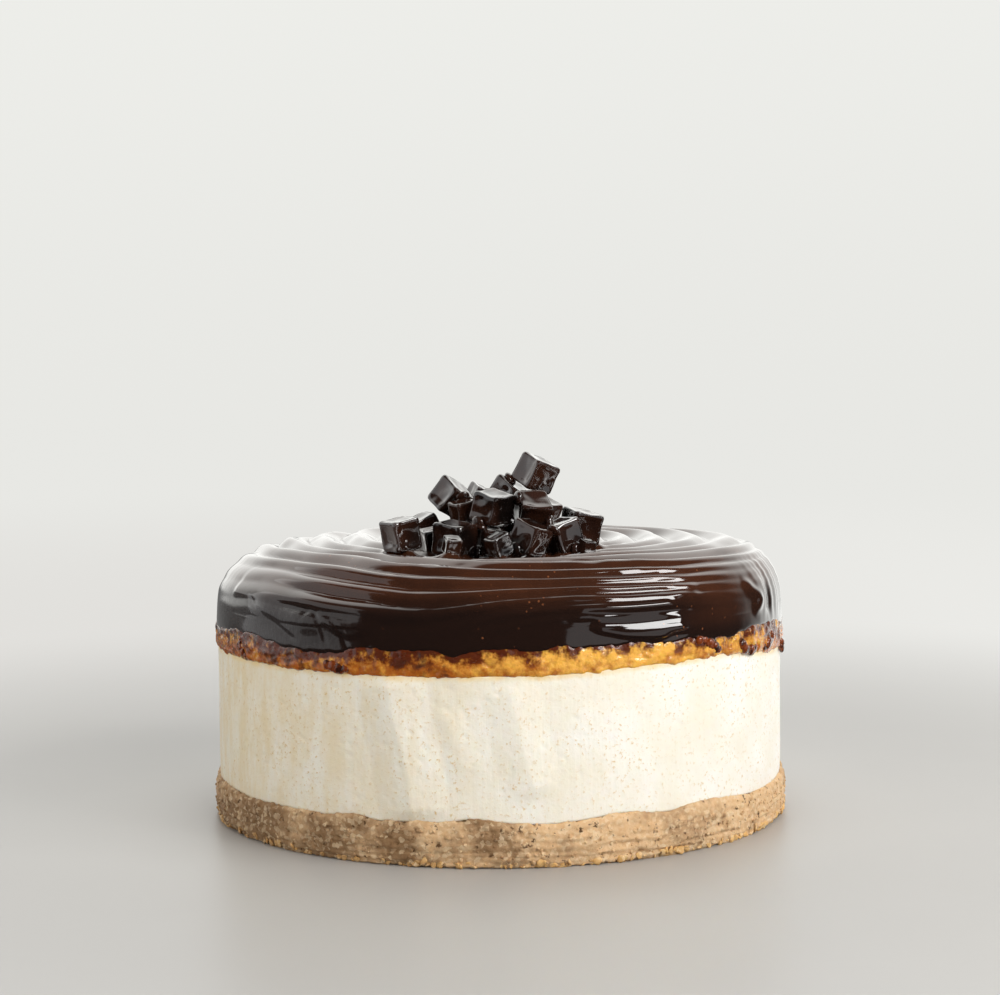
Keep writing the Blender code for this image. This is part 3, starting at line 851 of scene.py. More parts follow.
class ReliefTree:
    """The modifier's node tree that roughens a finished skin along its normals."""

    NAMES = ("Lump depth", "Lump size", "Grain depth", "Grain size", "Pit depth", "Pit size", "Seed")

    def __init__(self) -> None:
        """Builds the tree."""
        weaver = modifier_weaver("skin_relief", self.NAMES)
        self.tree = weaver.tree
        source = weaver.add("NodeGroupInput").outputs
        place = weaver.add("GeometryNodeInputPosition").outputs[0]
        skin = weaver.add("GeometryNodeInputNamedAttribute", {"Name": "skin"}, data_type="FLOAT")
        skin = skin.outputs[0]

        def waves(size: str, shift: float) -> bpy.types.NodeSocket:
            """Noise about 0, whose lumps are as wide as this input says."""
            scale = weaver.math("DIVIDE", 1.0, source[size])
            seed = weaver.math("ADD", source["Seed"], shift)
            inputs = {"Vector": place, "W": seed, "Scale": scale, "Detail": 2.0}
            made = weaver.add("ShaderNodeTexNoise", inputs, noise_dimensions="4D").outputs[0]
            return weaver.math("MULTIPLY", weaver.math("SUBTRACT", made, 0.5), 2.6)

        lumps = weaver.math("MULTIPLY", waves("Lump size", 0.0), source["Lump depth"])
        grains = weaver.math("MULTIPLY", waves("Grain size", 5.0), source["Grain depth"])
        pits = weaver.math("MULTIPLY", weaver.fit(waves("Pit size", 9.0), 0.18, 0.55), source["Pit depth"])
        total = weaver.math("SUBTRACT", weaver.math("ADD", lumps, grains), pits)
        total = weaver.math("MULTIPLY", total, skin)
        normal = weaver.add("GeometryNodeInputNormal").outputs[0]
        inputs = {0: normal, "Scale": total}
        offset = weaver.add("ShaderNodeVectorMath", inputs, operation="SCALE").outputs[0]
        inputs = {"Geometry": source["Geometry"], "Offset": offset}
        moved = weaver.add("GeometryNodeSetPosition", inputs).outputs[0]
        whole = weaver.add("GeometryNodeRealizeInstances", {"Geometry": moved}).outputs[0]
        inputs = {"Geometry": whole, "Material": source["Finish"]}
        dressed = weaver.add("GeometryNodeSetMaterial", inputs).outputs[0]
        weaver.add("NodeGroupOutput", {"Geometry": dressed})

    def apply(self, mesh: bpy.types.Mesh, finish: Finish, **sizes: float) -> bpy.types.Mesh:
        """Roughens a mesh.

        Args:
            mesh: the smooth mesh, with its skin values.
            finish: the finish that the tree sets.
            **sizes: the tree's inputs, by name with _ for each space.

        Returns:
            The roughened mesh.
        """
        return through(self.tree, mesh, inputs_of(finish, sizes))


def through(tree: bpy.types.NodeTree, mesh: bpy.types.Mesh, values: dict[str, object]) -> bpy.types.Mesh:
    """Runs a mesh through a modifier's node tree.

    Args:
        tree: the tree.
        mesh: the mesh to start from, which is used up.
        values: the tree's inputs, by name.

    Returns:
        The plain mesh that comes out.
    """
    host = bpy.data.objects.new("host", mesh)
    bpy.context.scene.collection.objects.link(host)
    modifier = host.modifiers.new("nodes", "NODES")
    modifier.node_group = tree
    for item in tree.interface.items_tree:
        if item.item_type == "SOCKET" and item.in_out == "INPUT" and item.name in values:
            modifier[item.identifier] = values[item.name]
    graph = bpy.context.evaluated_depsgraph_get()
    made = bpy.data.meshes.new_from_object(host.evaluated_get(graph), depsgraph=graph)
    host.modifiers.remove(modifier)
    bpy.data.objects.remove(host)
    bpy.data.meshes.remove(mesh)
    return made


class ScatterTree:
    """The modifier's node tree that strews uneven grains over a skin and gives back the grains alone."""

    NAMES = ("Per square metre", "Smallest", "Largest", "Flatness", "Unevenness")
    LEAN = (0.7, 0.7, math.pi)  # how far a grain turns either way about each axis
    LUMPS = 1400.0  # lumps to a metre on the grains

    def __init__(self) -> None:
        """Builds the tree."""
        weaver = modifier_weaver("strewn_grains", self.NAMES, ("Seed",))
        self.tree = weaver.tree
        source = weaver.add("NodeGroupInput").outputs
        chance = weaver.add("GeometryNodeInputNamedAttribute", {"Name": "chance"}, data_type="FLOAT")
        chance = chance.outputs[0]
        density = weaver.math("MULTIPLY", chance, source["Per square metre"])
        inputs = {"Mesh": source["Geometry"], "Density": density, "Seed": source["Seed"]}
        points = weaver.add("GeometryNodeDistributePointsOnFaces", inputs).outputs
        grain = weaver.add("GeometryNodeMeshIcoSphere", {"Radius": 0.5, "Subdivisions": 2}).outputs["Mesh"]
        inputs = {2: source["Smallest"], 3: source["Largest"], "Seed": source["Seed"]}
        size = weaver.add("FunctionNodeRandomValue", inputs, data_type="FLOAT").outputs[1]
        flat = weaver.math("MULTIPLY", size, source["Flatness"])
        scale = weaver.add("ShaderNodeCombineXYZ", {0: size, 1: size, 2: flat}).outputs[0]
        other_seed = weaver.math("ADD", source["Seed"], 3.0)
        inputs = {0: tuple(-angle for angle in self.LEAN), 1: self.LEAN, "Seed": other_seed}
        lean = weaver.add("FunctionNodeRandomValue", inputs, data_type="FLOAT_VECTOR").outputs[0]
        inputs = {0: points["Rotation"], 1: lean}
        turned = weaver.add("FunctionNodeRotateRotation", inputs, rotation_space="LOCAL").outputs[0]
        inputs = {"Points": points["Points"], "Instance": grain, "Rotation": turned, "Scale": scale}
        strewn = weaver.add("GeometryNodeInstanceOnPoints", inputs).outputs[0]
        whole = weaver.add("GeometryNodeRealizeInstances", {"Geometry": strewn}).outputs[0]
        place = weaver.add("GeometryNodeInputPosition").outputs[0]
        inputs = {"Vector": place, "Scale": self.LUMPS, "Detail": 1.0}
        uneven = weaver.add("ShaderNodeTexNoise", inputs).outputs[1]
        inputs = {0: uneven, 1: (0.5, 0.5, 0.5)}
        middle = weaver.add("ShaderNodeVectorMath", inputs, operation="SUBTRACT").outputs[0]
        inputs = {0: middle, "Scale": source["Unevenness"]}
        offset = weaver.add("ShaderNodeVectorMath", inputs, operation="SCALE").outputs[0]
        moved = weaver.add("GeometryNodeSetPosition", {"Geometry": whole, "Offset": offset}).outputs[0]
        inputs = {"Geometry": moved, "Material": source["Finish"]}
        dressed = weaver.add("GeometryNodeSetMaterial", inputs).outputs[0]
        weaver.add("NodeGroupOutput", {"Geometry": dressed})

    def strew(
        self, host: bpy.types.Mesh, chance: np.ndarray, finish: Finish, **sizes: float
    ) -> bpy.types.Mesh:
        """Strews grains over a copy of a mesh.

        Args:
            host: the mesh that carries the grains.
            chance: 0 to 1 for each of its points.
            finish: the grains' finish.
            **sizes: the tree's inputs, by name with _ for each space.

        Returns:
            The grains as one mesh.
        """
        copy = host.copy()
        store(copy, "chance", chance)
        return through(self.tree, copy, inputs_of(finish, sizes))


@dataclass
class SideSkin:
    """The rings of a layer's fine skin: how many steps round and up it has."""

    form: CakeForm
    around: int = 820
    upward: int = 40

    def azimuths(self) -> np.ndarray:
        """Azimuths of one ring."""
        return -180.0 + 360.0 * np.arange(self.around) / self.around

    def rings(
        self, low: np.ndarray, high: np.ndarray, radius: np.ndarray, rounding: float
    ) -> tuple[np.ndarray, dict[str, np.ndarray]]:
        """The layer's rings, from its inner top ring down its side to its inner ring below.

        Args:
            low: height of the layer's foot, by azimuth.
            high: height of the layer's top edge, by azimuth.
            radius: radius by height share and azimuth, the top first.
            rounding: how far the skin turns in at its two edges.

        Returns:
            The rings, and the values that the finishes read: share is 0 at the foot and 1 at the top, and
            skin is 0 on the hidden faces.
        """
        azimuth = self.azimuths()
        share = np.linspace(1.0, 0.0, self.upward + 1)[:, None]
        height = low + share * (high - low)
        tucked = radius - rounding * np.abs(2.0 * share - 1.0) ** 12
        side = polar(azimuth[None, :], tucked, height)
        inner = self.form.flat_radius
        top = polar(azimuth, inner, np.full(self.around, high.max()))[None]
        foot = polar(azimuth, inner, np.full(self.around, low.min()))[None]
        rings = np.concatenate((top, side, foot))
        blank = np.zeros((1, self.around))
        skin = np.concatenate((blank, np.ones(height.shape), blank))
        shares = np.concatenate((blank + 1.0, np.broadcast_to(share, height.shape), blank))
        return rings, {"skin": skin, "share": shares}


@dataclass
class CrumbBase:
    """The pressed biscuit base with its loose grains and its ragged golden rim."""

    form: CakeForm
    relief: ReliefTree
    scatter: ScatterTree
    around: int = 900
    upward: int = 26
    swell: float = 0.3 * MM
    foot: float = 0.4 * MM
    crumble: float = 0.6 * MM
    ragged: tuple[Wave, ...] = (Wave(0.3 * MM, 90, 51), Wave(0.3 * MM, 200, 52))
    overlap: float = 0.15 * MM
    rounding: float = 0.6 * MM
    grains_between: tuple[float, float] = (0.8 * MM, 0.5 * MM)  # from the floor, and from the top edge
    flakes_between: tuple[float, float] = (0.25 * MM, 1.3 * MM)  # both from the floor
    finish: Finish = CrumbFinish()
    flake: Finish = CrumbFinish(
        "biscuit_flake", paste=(0.60, 0.37, 0.16, 1.0), toasted=(0.74, 0.48, 0.20, 1.0)
    )

    def build(self) -> None:
        """Builds the base, its grains and the flakes along its rim."""
        skin = SideSkin(self.form, self.around, self.upward)
        azimuth = skin.azimuths()
        share = np.linspace(1.0, 0.0, self.upward + 1)[:, None]
        swell = self.swell * np.sin(math.pi * share) - self.foot * (1.0 - share) ** 4
        crumble = self.crumble * wander(azimuth[None, :], 30, 4 + 3 * share) * (1.3 - share)
        low = np.zeros(self.around)
        ragged = sum(wave.at(azimuth) for wave in self.ragged)
        high = self.form.base_top(azimuth, self.form.base_radius) + self.overlap + ragged
        rings, values = skin.rings(low, high, self.form.base_radius + swell + crumble, self.rounding)
        # Painted light: the crumb is painted paler towards its right, where the window lights it, and a
        # little at the back-left.
        painted_light = bump(turn_between(azimuth, 75.0), 75.0) + 0.7 * bump(turn_between(azimuth, -150.0), 50.0)
        values["painted_light"] = np.broadcast_to(painted_light, rings.shape[:2])
        mesh = lofted_mesh(rings, values)
        grown = self.relief.apply(
            mesh, self.finish, lump_depth=0.55 * MM, lump_size=3.2 * MM, grain_depth=0.24 * MM,
            grain_size=1.1 * MM, pit_depth=0.7 * MM, pit_size=1.6 * MM, seed=1.0,
        )
        place = above_floor(grown)
        outside = np.hypot(place[:, 0], place[:, 1]) > self.form.base_radius - 2.0 * MM
        below, above = self.grains_between
        inside = (place[:, 2] > below) & (place[:, 2] < self.form.base_top_height - above)
        Piece("crumb_base", "crumb", self.finish, ("biscuit_base",)).from_mesh(grown)
        grains = self.scatter.strew(
            grown, outside & inside, self.finish, per_square_metre=2.0e5, smallest=0.35 * MM,
            largest=1.2 * MM, flatness=0.6, unevenness=0.5 * MM, seed=4,
        )
        above_floor(grains)
        Piece("loose_grains", "crumb", self.finish).from_mesh(grains)
        below, above = self.flakes_between
        rim = outside & (place[:, 2] > below) & (place[:, 2] < above)
        flakes = self.scatter.strew(
            grown, rim, self.flake, per_square_metre=5.0e5, smallest=0.7 * MM, largest=2.4 * MM,
            flatness=0.35, unevenness=0.9 * MM, seed=9,
        )
        above_floor(flakes)
        Piece("rim_flakes", "crumb", self.flake).from_mesh(flakes)


@dataclass
class CreamLayer:
    """The set cream, cut with a knife that left flat facets and fine streaks."""

    form: CakeForm
    relief: ReliefTree
    around: int = 820
    upward: int = 70
    wave: Wave = Wave(0.2 * MM, 14, 8)
    overlap: float = 0.15 * MM
    rounding: float = 0.1 * MM
    finish: Finish = CreamFinish()
    knife_marks: tuple[Stroke, ...] = (
        Stroke(
            ((-20.6, 46.0), (-19.1, 35.1), (-17.1, 25.8), (-15.6, 10.0)), 9.0 * MM, 1.6 * MM, Profile.EDGE
        ),
        Stroke(((-10.7, 38.5), (-8.0, 30.0), (-5.6, 20.7)), 4.5 * MM, 0.4 * MM, Profile.EDGE),
        Stroke(((1.6, 44.4), (3.6, 31.0), (6.4, 15.5)), 7.0 * MM, 0.9 * MM, Profile.EDGE),
        Stroke(((62.0, 44.0), (60.0, 28.0), (61.0, 12.0)), 8.0 * MM, 0.25 * MM, Profile.EDGE),
        Stroke(((112.0, 44.0), (108.0, 28.0), (109.0, 12.0)), 9.0 * MM, 0.5 * MM, Profile.EDGE),
        Stroke(((158.0, 44.0), (161.0, 28.0), (160.0, 12.0)), 8.0 * MM, 0.4 * MM, Profile.EDGE),
        Stroke(((-140.0, 44.0), (-143.0, 28.0), (-141.0, 12.0)), 9.0 * MM, 0.5 * MM, Profile.EDGE),
        Stroke(((-92.0, 44.0), (-90.0, 28.0), (-91.0, 12.0)), 8.0 * MM, 0.35 * MM, Profile.EDGE),
    )

    def build(self) -> None:
        """Builds the cream layer."""
        skin = SideSkin(self.form, self.around, self.upward)
        azimuth = skin.azimuths()
        radius = self.form.cream_radius
        low = self.form.base_top(azimuth, radius)
        high = self.form.cream_top(azimuth, radius) + self.overlap
        share = np.linspace(1.0, 0.0, self.upward + 1)[:, None]
        height = low + share * (high - low)
        out = radius + self.wave.at(azimuth)[None, :] - self.overlap
        out = out + sum(mark.offset(azimuth[None, :], height) for mark in self.knife_marks)
        rings, values = skin.rings(low, high, out, self.rounding)
        # Painted shade, partly stain: the cream is painted darker and yellower on its left, away from the
        # window, and at the back.
        painted_light = bump(turn_between(azimuth, -58.0), 48.0) + 0.5 * bump(turn_between(azimuth, 170.0), 50.0)
        values["painted_light"] = np.broadcast_to(painted_light, rings.shape[:2])
        mesh = self.relief.apply(
            lofted_mesh(rings, values), self.finish, lump_depth=0.14 * MM, lump_size=9.0 * MM,
            grain_depth=0.05 * MM, grain_size=1.5 * MM, pit_depth=0.16 * MM, pit_size=1.7 * MM, seed=2.0,
        )
        Piece("cream_layer", "cream", self.finish, ("cream_filling",)).from_mesh(mesh)


@dataclass
class CaramelLayer:
    """The wet caramel with its lumps, stained where the ganache ran over it."""

    form: CakeForm
    relief: ReliefTree
    around: int = 900
    upward: int = 22
    finish: Finish = CaramelFinish()
    drip_seed: int = 5
    drip_size: tuple[float, float] = (0.8 * MM, 1.5 * MM)
    drip_flatness: float = 0.55
    drip_shift: float = 0.25 * MM
    drip_depth: tuple[float, float] = (-0.2, 0.25)  # in millimetres out of the band
    drip_lumps: tuple[float, float] = (0.4 * MM, 2.2 * MM)  # how deep and how wide
    wave: Wave = Wave(0.3 * MM, 24, 9)
    foot_wave: Wave = Wave(0.35 * MM, 150, 21)
    stain_wave: Wave = Wave(0.35, 22, 41)
    swell: float = 0.2 * MM
    overlap: float = 0.1 * MM
    under_lip: float = 1.0 * MM
    rounding: float = 0.5 * MM
    drip_lines: tuple[tuple[tuple[float, float], ...], ...] = (
        ((39.9, 50.9), (43.5, 49.6), (45.0, 48.2)),
        ((52.5, 48.4), (54.5, 46.6), (57.5, 46.4)),
        ((63.0, 46.4), (65.5, 46.8), (67.0, 48.6)),
        ((77.0, 45.2), (77.2, 43.4)),
        ((-60.0, 49.0), (-57.5, 46.5)),
        ((-33.0, 46.8), (-29.0, 45.9)),
        ((118.0, 48.5), (119.5, 46.8)),
        ((190.0, 49.0), (193.0, 46.6)),
        ((-128.0, 49.0), (-124.0, 47.0)),
    )

    def build(self) -> None:
        """Builds the caramel layer."""
        skin = SideSkin(self.form, self.around, self.upward)
        azimuth = skin.azimuths()
        radius = self.form.caramel_radius
        share = np.linspace(1.0, 0.0, self.upward + 1)[:, None]
        out = radius + self.wave.at(azimuth)[None, :] + self.swell * np.sin(math.pi * share)
        low = self.form.cream_top(azimuth, self.form.cream_radius) - self.overlap
        low = low + self.foot_wave.at(azimuth)
        high = self.form.lip(azimuth) + self.under_lip
        rings, values = skin.rings(low, high, out - self.overlap, self.rounding)
        bright = bump(turn_between(azimuth, 24.0), 22.0) + 0.7 * bump(turn_between(azimuth, 150.0), 30.0)
        stain = np.clip(0.9 + self.stain_wave.at(azimuth) - bright, 0.0, 1.0)
        values["stain"] = np.broadcast_to(stain, rings.shape[:2])
        mesh = self.relief.apply(
            lofted_mesh(rings, values), self.finish, lump_depth=0.65 * MM, lump_size=3.6 * MM,
            grain_depth=0.34 * MM, grain_size=1.4 * MM, pit_depth=0.4 * MM, pit_size=2.2 * MM, seed=3.0,
        )
        Piece("caramel_band", "caramel", self.finish, ("caramel_layer",)).from_mesh(mesh)
        self.drips()

    def drips(self) -> None:
        """Puts dark red-brown drips of ganache and caramel over the band."""
        draw = random.Random(self.drip_seed)
        bm = bmesh.new()
        for line in self.drip_lines:
            run = Stroke(line, *self.drip_size)
            for along, height in run.path():
                azimuth = math.degrees(along / run.radius)
                out = self.form.caramel_radius + draw.uniform(*self.drip_depth) * MM
                middle = polar(azimuth, out, height + draw.uniform(-self.drip_shift, self.drip_shift))
                wide, thick, tall = (draw.uniform(*self.drip_size) for _ in range(3))
                turn = Matrix.Rotation(math.radians(azimuth), 4, "Z")
                turn = turn @ Matrix.Rotation(draw.uniform(0, 3), 4, "Y")
                shape = Matrix.Diagonal((wide, self.drip_flatness * thick, tall, 1.0))
                place = Matrix.Translation(Vector(middle)) @ turn @ shape
                bmesh.ops.create_icosphere(bm, subdivisions=2, radius=1.0, matrix=place)
        deep, broad = self.drip_lumps
        for vert in bm.verts:
            vert.co += deep * noise.noise_vector(vert.co / broad)
        Piece("caramel_drips", "caramel", DripFinish()).from_mesh(mesh_of(bm, "drips"))


@dataclass
class GanacheCap:
    """The combed ganache: ridges on top, a rounded shoulder, and the folds of its slumped side."""

    form: CakeForm
    across: int = 180
    deep: int = 230
    shoulder_steps: int = 40
    side_steps: int = 24
    tear_depth: float = 0.45 * MM
    side_wave: Wave = Wave(0.2 * MM, 20, 10)
    side_lean: float = 0.35 * MM
    lip_roll: float = 1.0 * MM
    lip_sharpness: int = 14
    marks_from: float = 3.0 * MM  # depth under the top where the side's strokes are whole
    creep_margin: float = 8.0 * MM
    creep_reach: float = 3.4 * MM
    creep_height: float = 1.9 * MM
    finish: Finish = GanacheFinish()
    # The dull patches: azimuth, height in mm, the half size of each, and how dull.
    dull_patches: tuple[tuple[float, float, float, float, float], ...] = (
        (-44.0, 54.5, 13.0, 5.0, 1.6),
        (150.0, 54.0, 18.0, 4.5, 0.9),
        (-70.0, 57.0, 10.0, 6.0, 0.7),
    )
    # Where the comb tore the skin: x and y of each patch in mm, and its half sizes across and deep.
    torn: tuple[tuple[float, float, float, float], ...] = (
        (-20.0, -66.0, 8.0, 5.0),
        (-12.0, -60.0, 6.0, 3.0),
        (25.0, -57.0, 12.0, 4.0),
        (28.0, -12.0, 10.0, 7.0),
        (-34.0, 26.0, 10.0, 6.0),
        (12.0, 48.0, 12.0, 5.0),
    )
    strokes: tuple[Stroke, ...] = (
        Stroke(
            ((-66.0, 61.2), (-55.0, 61.4), (-44.0, 61.4), (-38.0, 60.6), (-33.5, 57.8), (-29.5, 54.6),
             (-26.0, 54.8), (-22.5, 57.8), (-17.0, 59.2), (-12.0, 58.0)),
            4.0 * MM, 0.5 * MM, Profile.LEDGE,
        ),
        Stroke(
            ((-40.0, 55.0), (-39.0, 57.9), (-36.8, 59.6), (-34.4, 55.9), (-33.1, 50.2)),
            0.5 * MM, 0.22 * MM, Profile.GROOVE,
        ),
        Stroke(
            ((-33.5, 58.6), (-30.2, 55.4), (-28.7, 51.1), (-26.7, 49.9), (-22.9, 53.2)),
            0.5 * MM, 0.25 * MM, Profile.GROOVE,
        ),
        Stroke(
            ((-57.0, 61.3), (-50.0, 57.0), (-44.0, 53.5), (-39.9, 50.9)),
            0.9 * MM, 0.25 * MM, Profile.GROOVE,
        ),
        Stroke(
            ((16.0, 56.2), (21.1, 54.6), (24.1, 53.9), (30.7, 53.3), (33.2, 54.4), (38.0, 55.2)),
            3.0 * MM, 0.75 * MM, Profile.LEDGE,
        ),
        Stroke(((12.0, 59.2), (17.6, 60.0), (29.9, 60.2), (36.7, 62.5), (42.0, 63.5)), 1.5 * MM, 0.6 * MM),
        Stroke(((55.0, 64.0), (55.8, 63.1), (60.0, 58.8), (57.4, 54.8)), 1.6 * MM, 0.8 * MM),
        Stroke(((64.0, 64.0), (66.0, 58.0), (65.0, 53.0)), 1.6 * MM, 0.4 * MM, Profile.GROOVE),
    )

    def azimuths(self) -> np.ndarray:
        """Azimuths of one ring, from the front-left corner of the top's grid."""
        around = 2 * (self.across + self.deep)
        return 360.0 / around * (np.arange(around) - 0.5 * self.across)

    def top_grid(self) -> tuple[np.ndarray, np.ndarray]:
        """The square grid bent on to the disc inside the shoulder.

        Returns:
            The x and y of its points, by row from the front and by place across.
        """
        form = self.form
        step = 180.0 / (self.across + self.deep)
        half_across, half_deep = 0.5 * self.across * step, 0.5 * self.deep * step
        u, v = np.meshgrid(np.linspace(-1, 1, self.across + 1), np.linspace(-1, 1, self.deep + 1))

        def rim(azimuth: np.ndarray) -> np.ndarray:
            """Points on the shoulder's inner edge."""
            return polar(azimuth, form.radius - form.shoulder_reach(azimuth), 0.0)

        sides = 0.5 * (1 - v)[..., None] * rim(u * half_across)
        sides = sides + 0.5 * (1 + v)[..., None] * rim(180.0 - u * half_across)
        sides = sides + 0.5 * (1 - u)[..., None] * rim(-90.0 - v * half_deep)
        sides = sides + 0.5 * (1 + u)[..., None] * rim(90.0 + v * half_deep)
        for right in (-1, 1):
            for back in (-1, 1):
                weight = 0.25 * (1 + right * u) * (1 + back * v)
                corner = rim(np.array(right * (90.0 + back * half_deep)))
                sides = sides - weight[..., None] * corner
        return sides[..., 0], sides[..., 1]

    def tears(self, x: np.ndarray, y: np.ndarray) -> np.ndarray:
        """Small torn ripples along the strokes, where the comb dragged the skin."""
        path = self.form.comb_path(x, y)
        along = np.degrees(np.arctan2(x, -y))
        ripple = noise_at(path * 7.0, along / 6.0, 3.0)
        gate = sum(
            bump(np.hypot((x - px * MM) / wide, (y - py * MM) / deep), MM)
            for px, py, wide, deep in self.torn
        )
        return self.tear_depth * ripple * np.clip(gate, 0.0, 1.0)

    def flutes(self, azimuth: np.ndarray) -> np.ndarray:
        """Upright runs in the ganache at the cake's two ends."""
        ends = bump(turn_between(azimuth, 74.0), 11.0) + 0.12 * bump(turn_between(azimuth, -74.0), 9.0)
        return 0.34 * MM * ends * wander(azimuth, 210, 40)

    def shoulder(self, azimuth: np.ndarray) -> tuple[np.ndarray, np.ndarray]:
        """The rings of the shoulder and of the side below it.

        Args:
            azimuth: azimuths of one ring.

        Returns:
            The rings from the top down, and each ring's outward direction.
        """
        form = self.form
        reach = form.shoulder_reach(azimuth)
        share = (np.arange(1, self.shoulder_steps + 1) / self.shoulder_steps)[:, None]
        angle = 0.5 * math.pi * share
        radius = form.radius - reach + reach * np.sin(angle)
        flat = polar(azimuth, radius, 0.0)
        height = form.top_height - form.drop * (1.0 - np.cos(angle)) + np.zeros(radius.shape)
        outwards = polar(azimuth, np.sin(angle), np.cos(angle))
        x, y = flat[..., 0], flat[..., 1]
        ends = form.ridge_ends * smooth_step((np.abs(np.sin(np.radians(azimuth))) - 0.55) / 0.3)
        closer = np.cos(angle) + form.unroll(x) * np.sin(angle)
        kept = closer**-0.75 * (1.0 - 0.85 * smooth_step((share - 0.78) / 0.22))
        kept = kept * (1.0 - ends * smooth_step((share - 0.1) / 0.45))
        faded = form.ridge(x, y) * kept + form.fold(azimuth, height)
        faded = faded + self.tears(x, y) * (1.0 - share**2)
        faded = faded + self.flutes(azimuth) * smooth_step((share - 0.2) / 0.4)
        rings = np.stack((x, y, height), axis=-1) + outwards * faded[..., None]
        return rings, outwards

    def side(self, azimuth: np.ndarray, start: np.ndarray) -> np.ndarray:
        """The rings below the shoulder, down to the lip over the caramel."""
        form = self.form
        share = (np.arange(1, self.side_steps + 1) / self.side_steps)[:, None]
        height = start[None, :, 2] + share * (form.lip(azimuth) - start[None, :, 2])
        rounded = self.lip_roll * share**self.lip_sharpness - self.side_lean * share
        rounded = rounded - self.side_wave.at(azimuth)
        out = form.radius + form.fold(azimuth, height) - rounded + self.flutes(azimuth) * (1.0 - share)
        return polar(azimuth, out, height)

    def rise(self, points: np.ndarray, cubes: kdtree.KDTree) -> np.ndarray:
        """How far the ganache creeps up the cubes that stand in it."""
        lift = np.zeros(len(points))
        centre = np.array(self.form.dent_centre)
        away = np.linalg.norm(points[:, :2] - centre, axis=1)
        for i in np.nonzero(away < self.form.dent_radius + self.creep_margin)[0]:
            distance = cubes.find(points[i])[2]
            if distance < self.creep_reach:
                lift[i] = self.creep_height * (1.0 - distance / self.creep_reach) ** 2
        return lift

    def build(self, cubes: kdtree.KDTree) -> None:
        """Builds the ganache.

        Args:
            cubes: points on the cubes that stand on it.
        """
        form = self.form
        x, y = self.top_grid()
        top = np.stack((x, y, form.ganache_top(x, y) + self.tears(x, y)), axis=-1)
        index = np.arange(x.size).reshape(x.shape)
        rim = np.concatenate((index[0, :-1], index[:-1, -1], index[-1, :0:-1], index[:0:-1, 0]))
        azimuth = self.azimuths()
        rings, outwards = self.shoulder(azimuth)
        rings = np.concatenate((rings, self.side(azimuth, rings[-1])))
        outwards = np.concatenate((outwards, np.repeat(outwards[-1:], self.side_steps, axis=0)))
        marks = sum(stroke.offset(azimuth[None, :], rings[..., 2]) for stroke in self.strokes)
        near_top = smooth_step((form.top_height - rings[..., 2]) / self.marks_from)
        rings = rings + outwards * (marks * near_top)[..., None]
        under = form.caramel_top(azimuth, form.flat_radius) + form.gap
        rings = np.concatenate((rings, polar(azimuth, form.flat_radius, under)[None]))
        points = np.concatenate((top.reshape(-1, 3), rings.reshape(-1, 3)))
        points[:, 2] += self.rise(points, cubes)
        count, around = rings.shape[:2]
        loops = np.concatenate((rim[None], x.size + np.arange(count * around).reshape(count, around)))
        after = np.roll(loops, -1, axis=1)
        quads = np.stack((loops[:-1], loops[1:], after[1:], after[:-1]), axis=-1).reshape(-1, 4)
        inside = np.stack((index[:-1, :-1], index[:-1, 1:], index[1:, 1:], index[1:, :-1]), axis=-1)
        faces = inside.reshape(-1, 4).tolist() + quads.tolist() + [loops[-1, ::-1].tolist()]
        mesh = bpy.data.meshes.new("ganache")
        mesh.from_pydata(points.tolist(), [], faces)
        angle = np.degrees(np.arctan2(points[:, 0], -points[:, 1]))
        height = points[:, 2]
        store(mesh, "painted_light", self.painted_light(angle, height))
        store(mesh, "dull", self.dullness(angle, height))
        Piece("ganache_cap", "ganache", self.finish, ("chocolate_ganache",)).from_mesh(mesh)

    def painted_light(self, azimuth: np.ndarray, height: np.ndarray) -> np.ndarray:
        """1 where light is painted on the ganache as brown, high on its top and at its right end, and 0 on
        its shaded side.
        """
        high = smooth_step((height - 59.0 * MM) / (7.0 * MM))
        # The right end is painted lighter as well, where the window's light falls on it.
        right = 0.45 * bump(turn_between(azimuth, 50.0), 12.0)
        right = right * smooth_step((height - 52.0 * MM) / (5.0 * MM))
        return np.clip(high + right, 0.0, 1.0)

    def dullness(self, azimuth: np.ndarray, height: np.ndarray) -> np.ndarray:
        """1 where the slumped skin is dull and wrinkled."""
        dull = sum(
            strong * bump(turn_between(azimuth, at), wide) * bump(height - level * MM, tall * MM)
            for at, level, wide, tall, strong in self.dull_patches
        )
        return np.clip(dull, 0.0, 1.0)


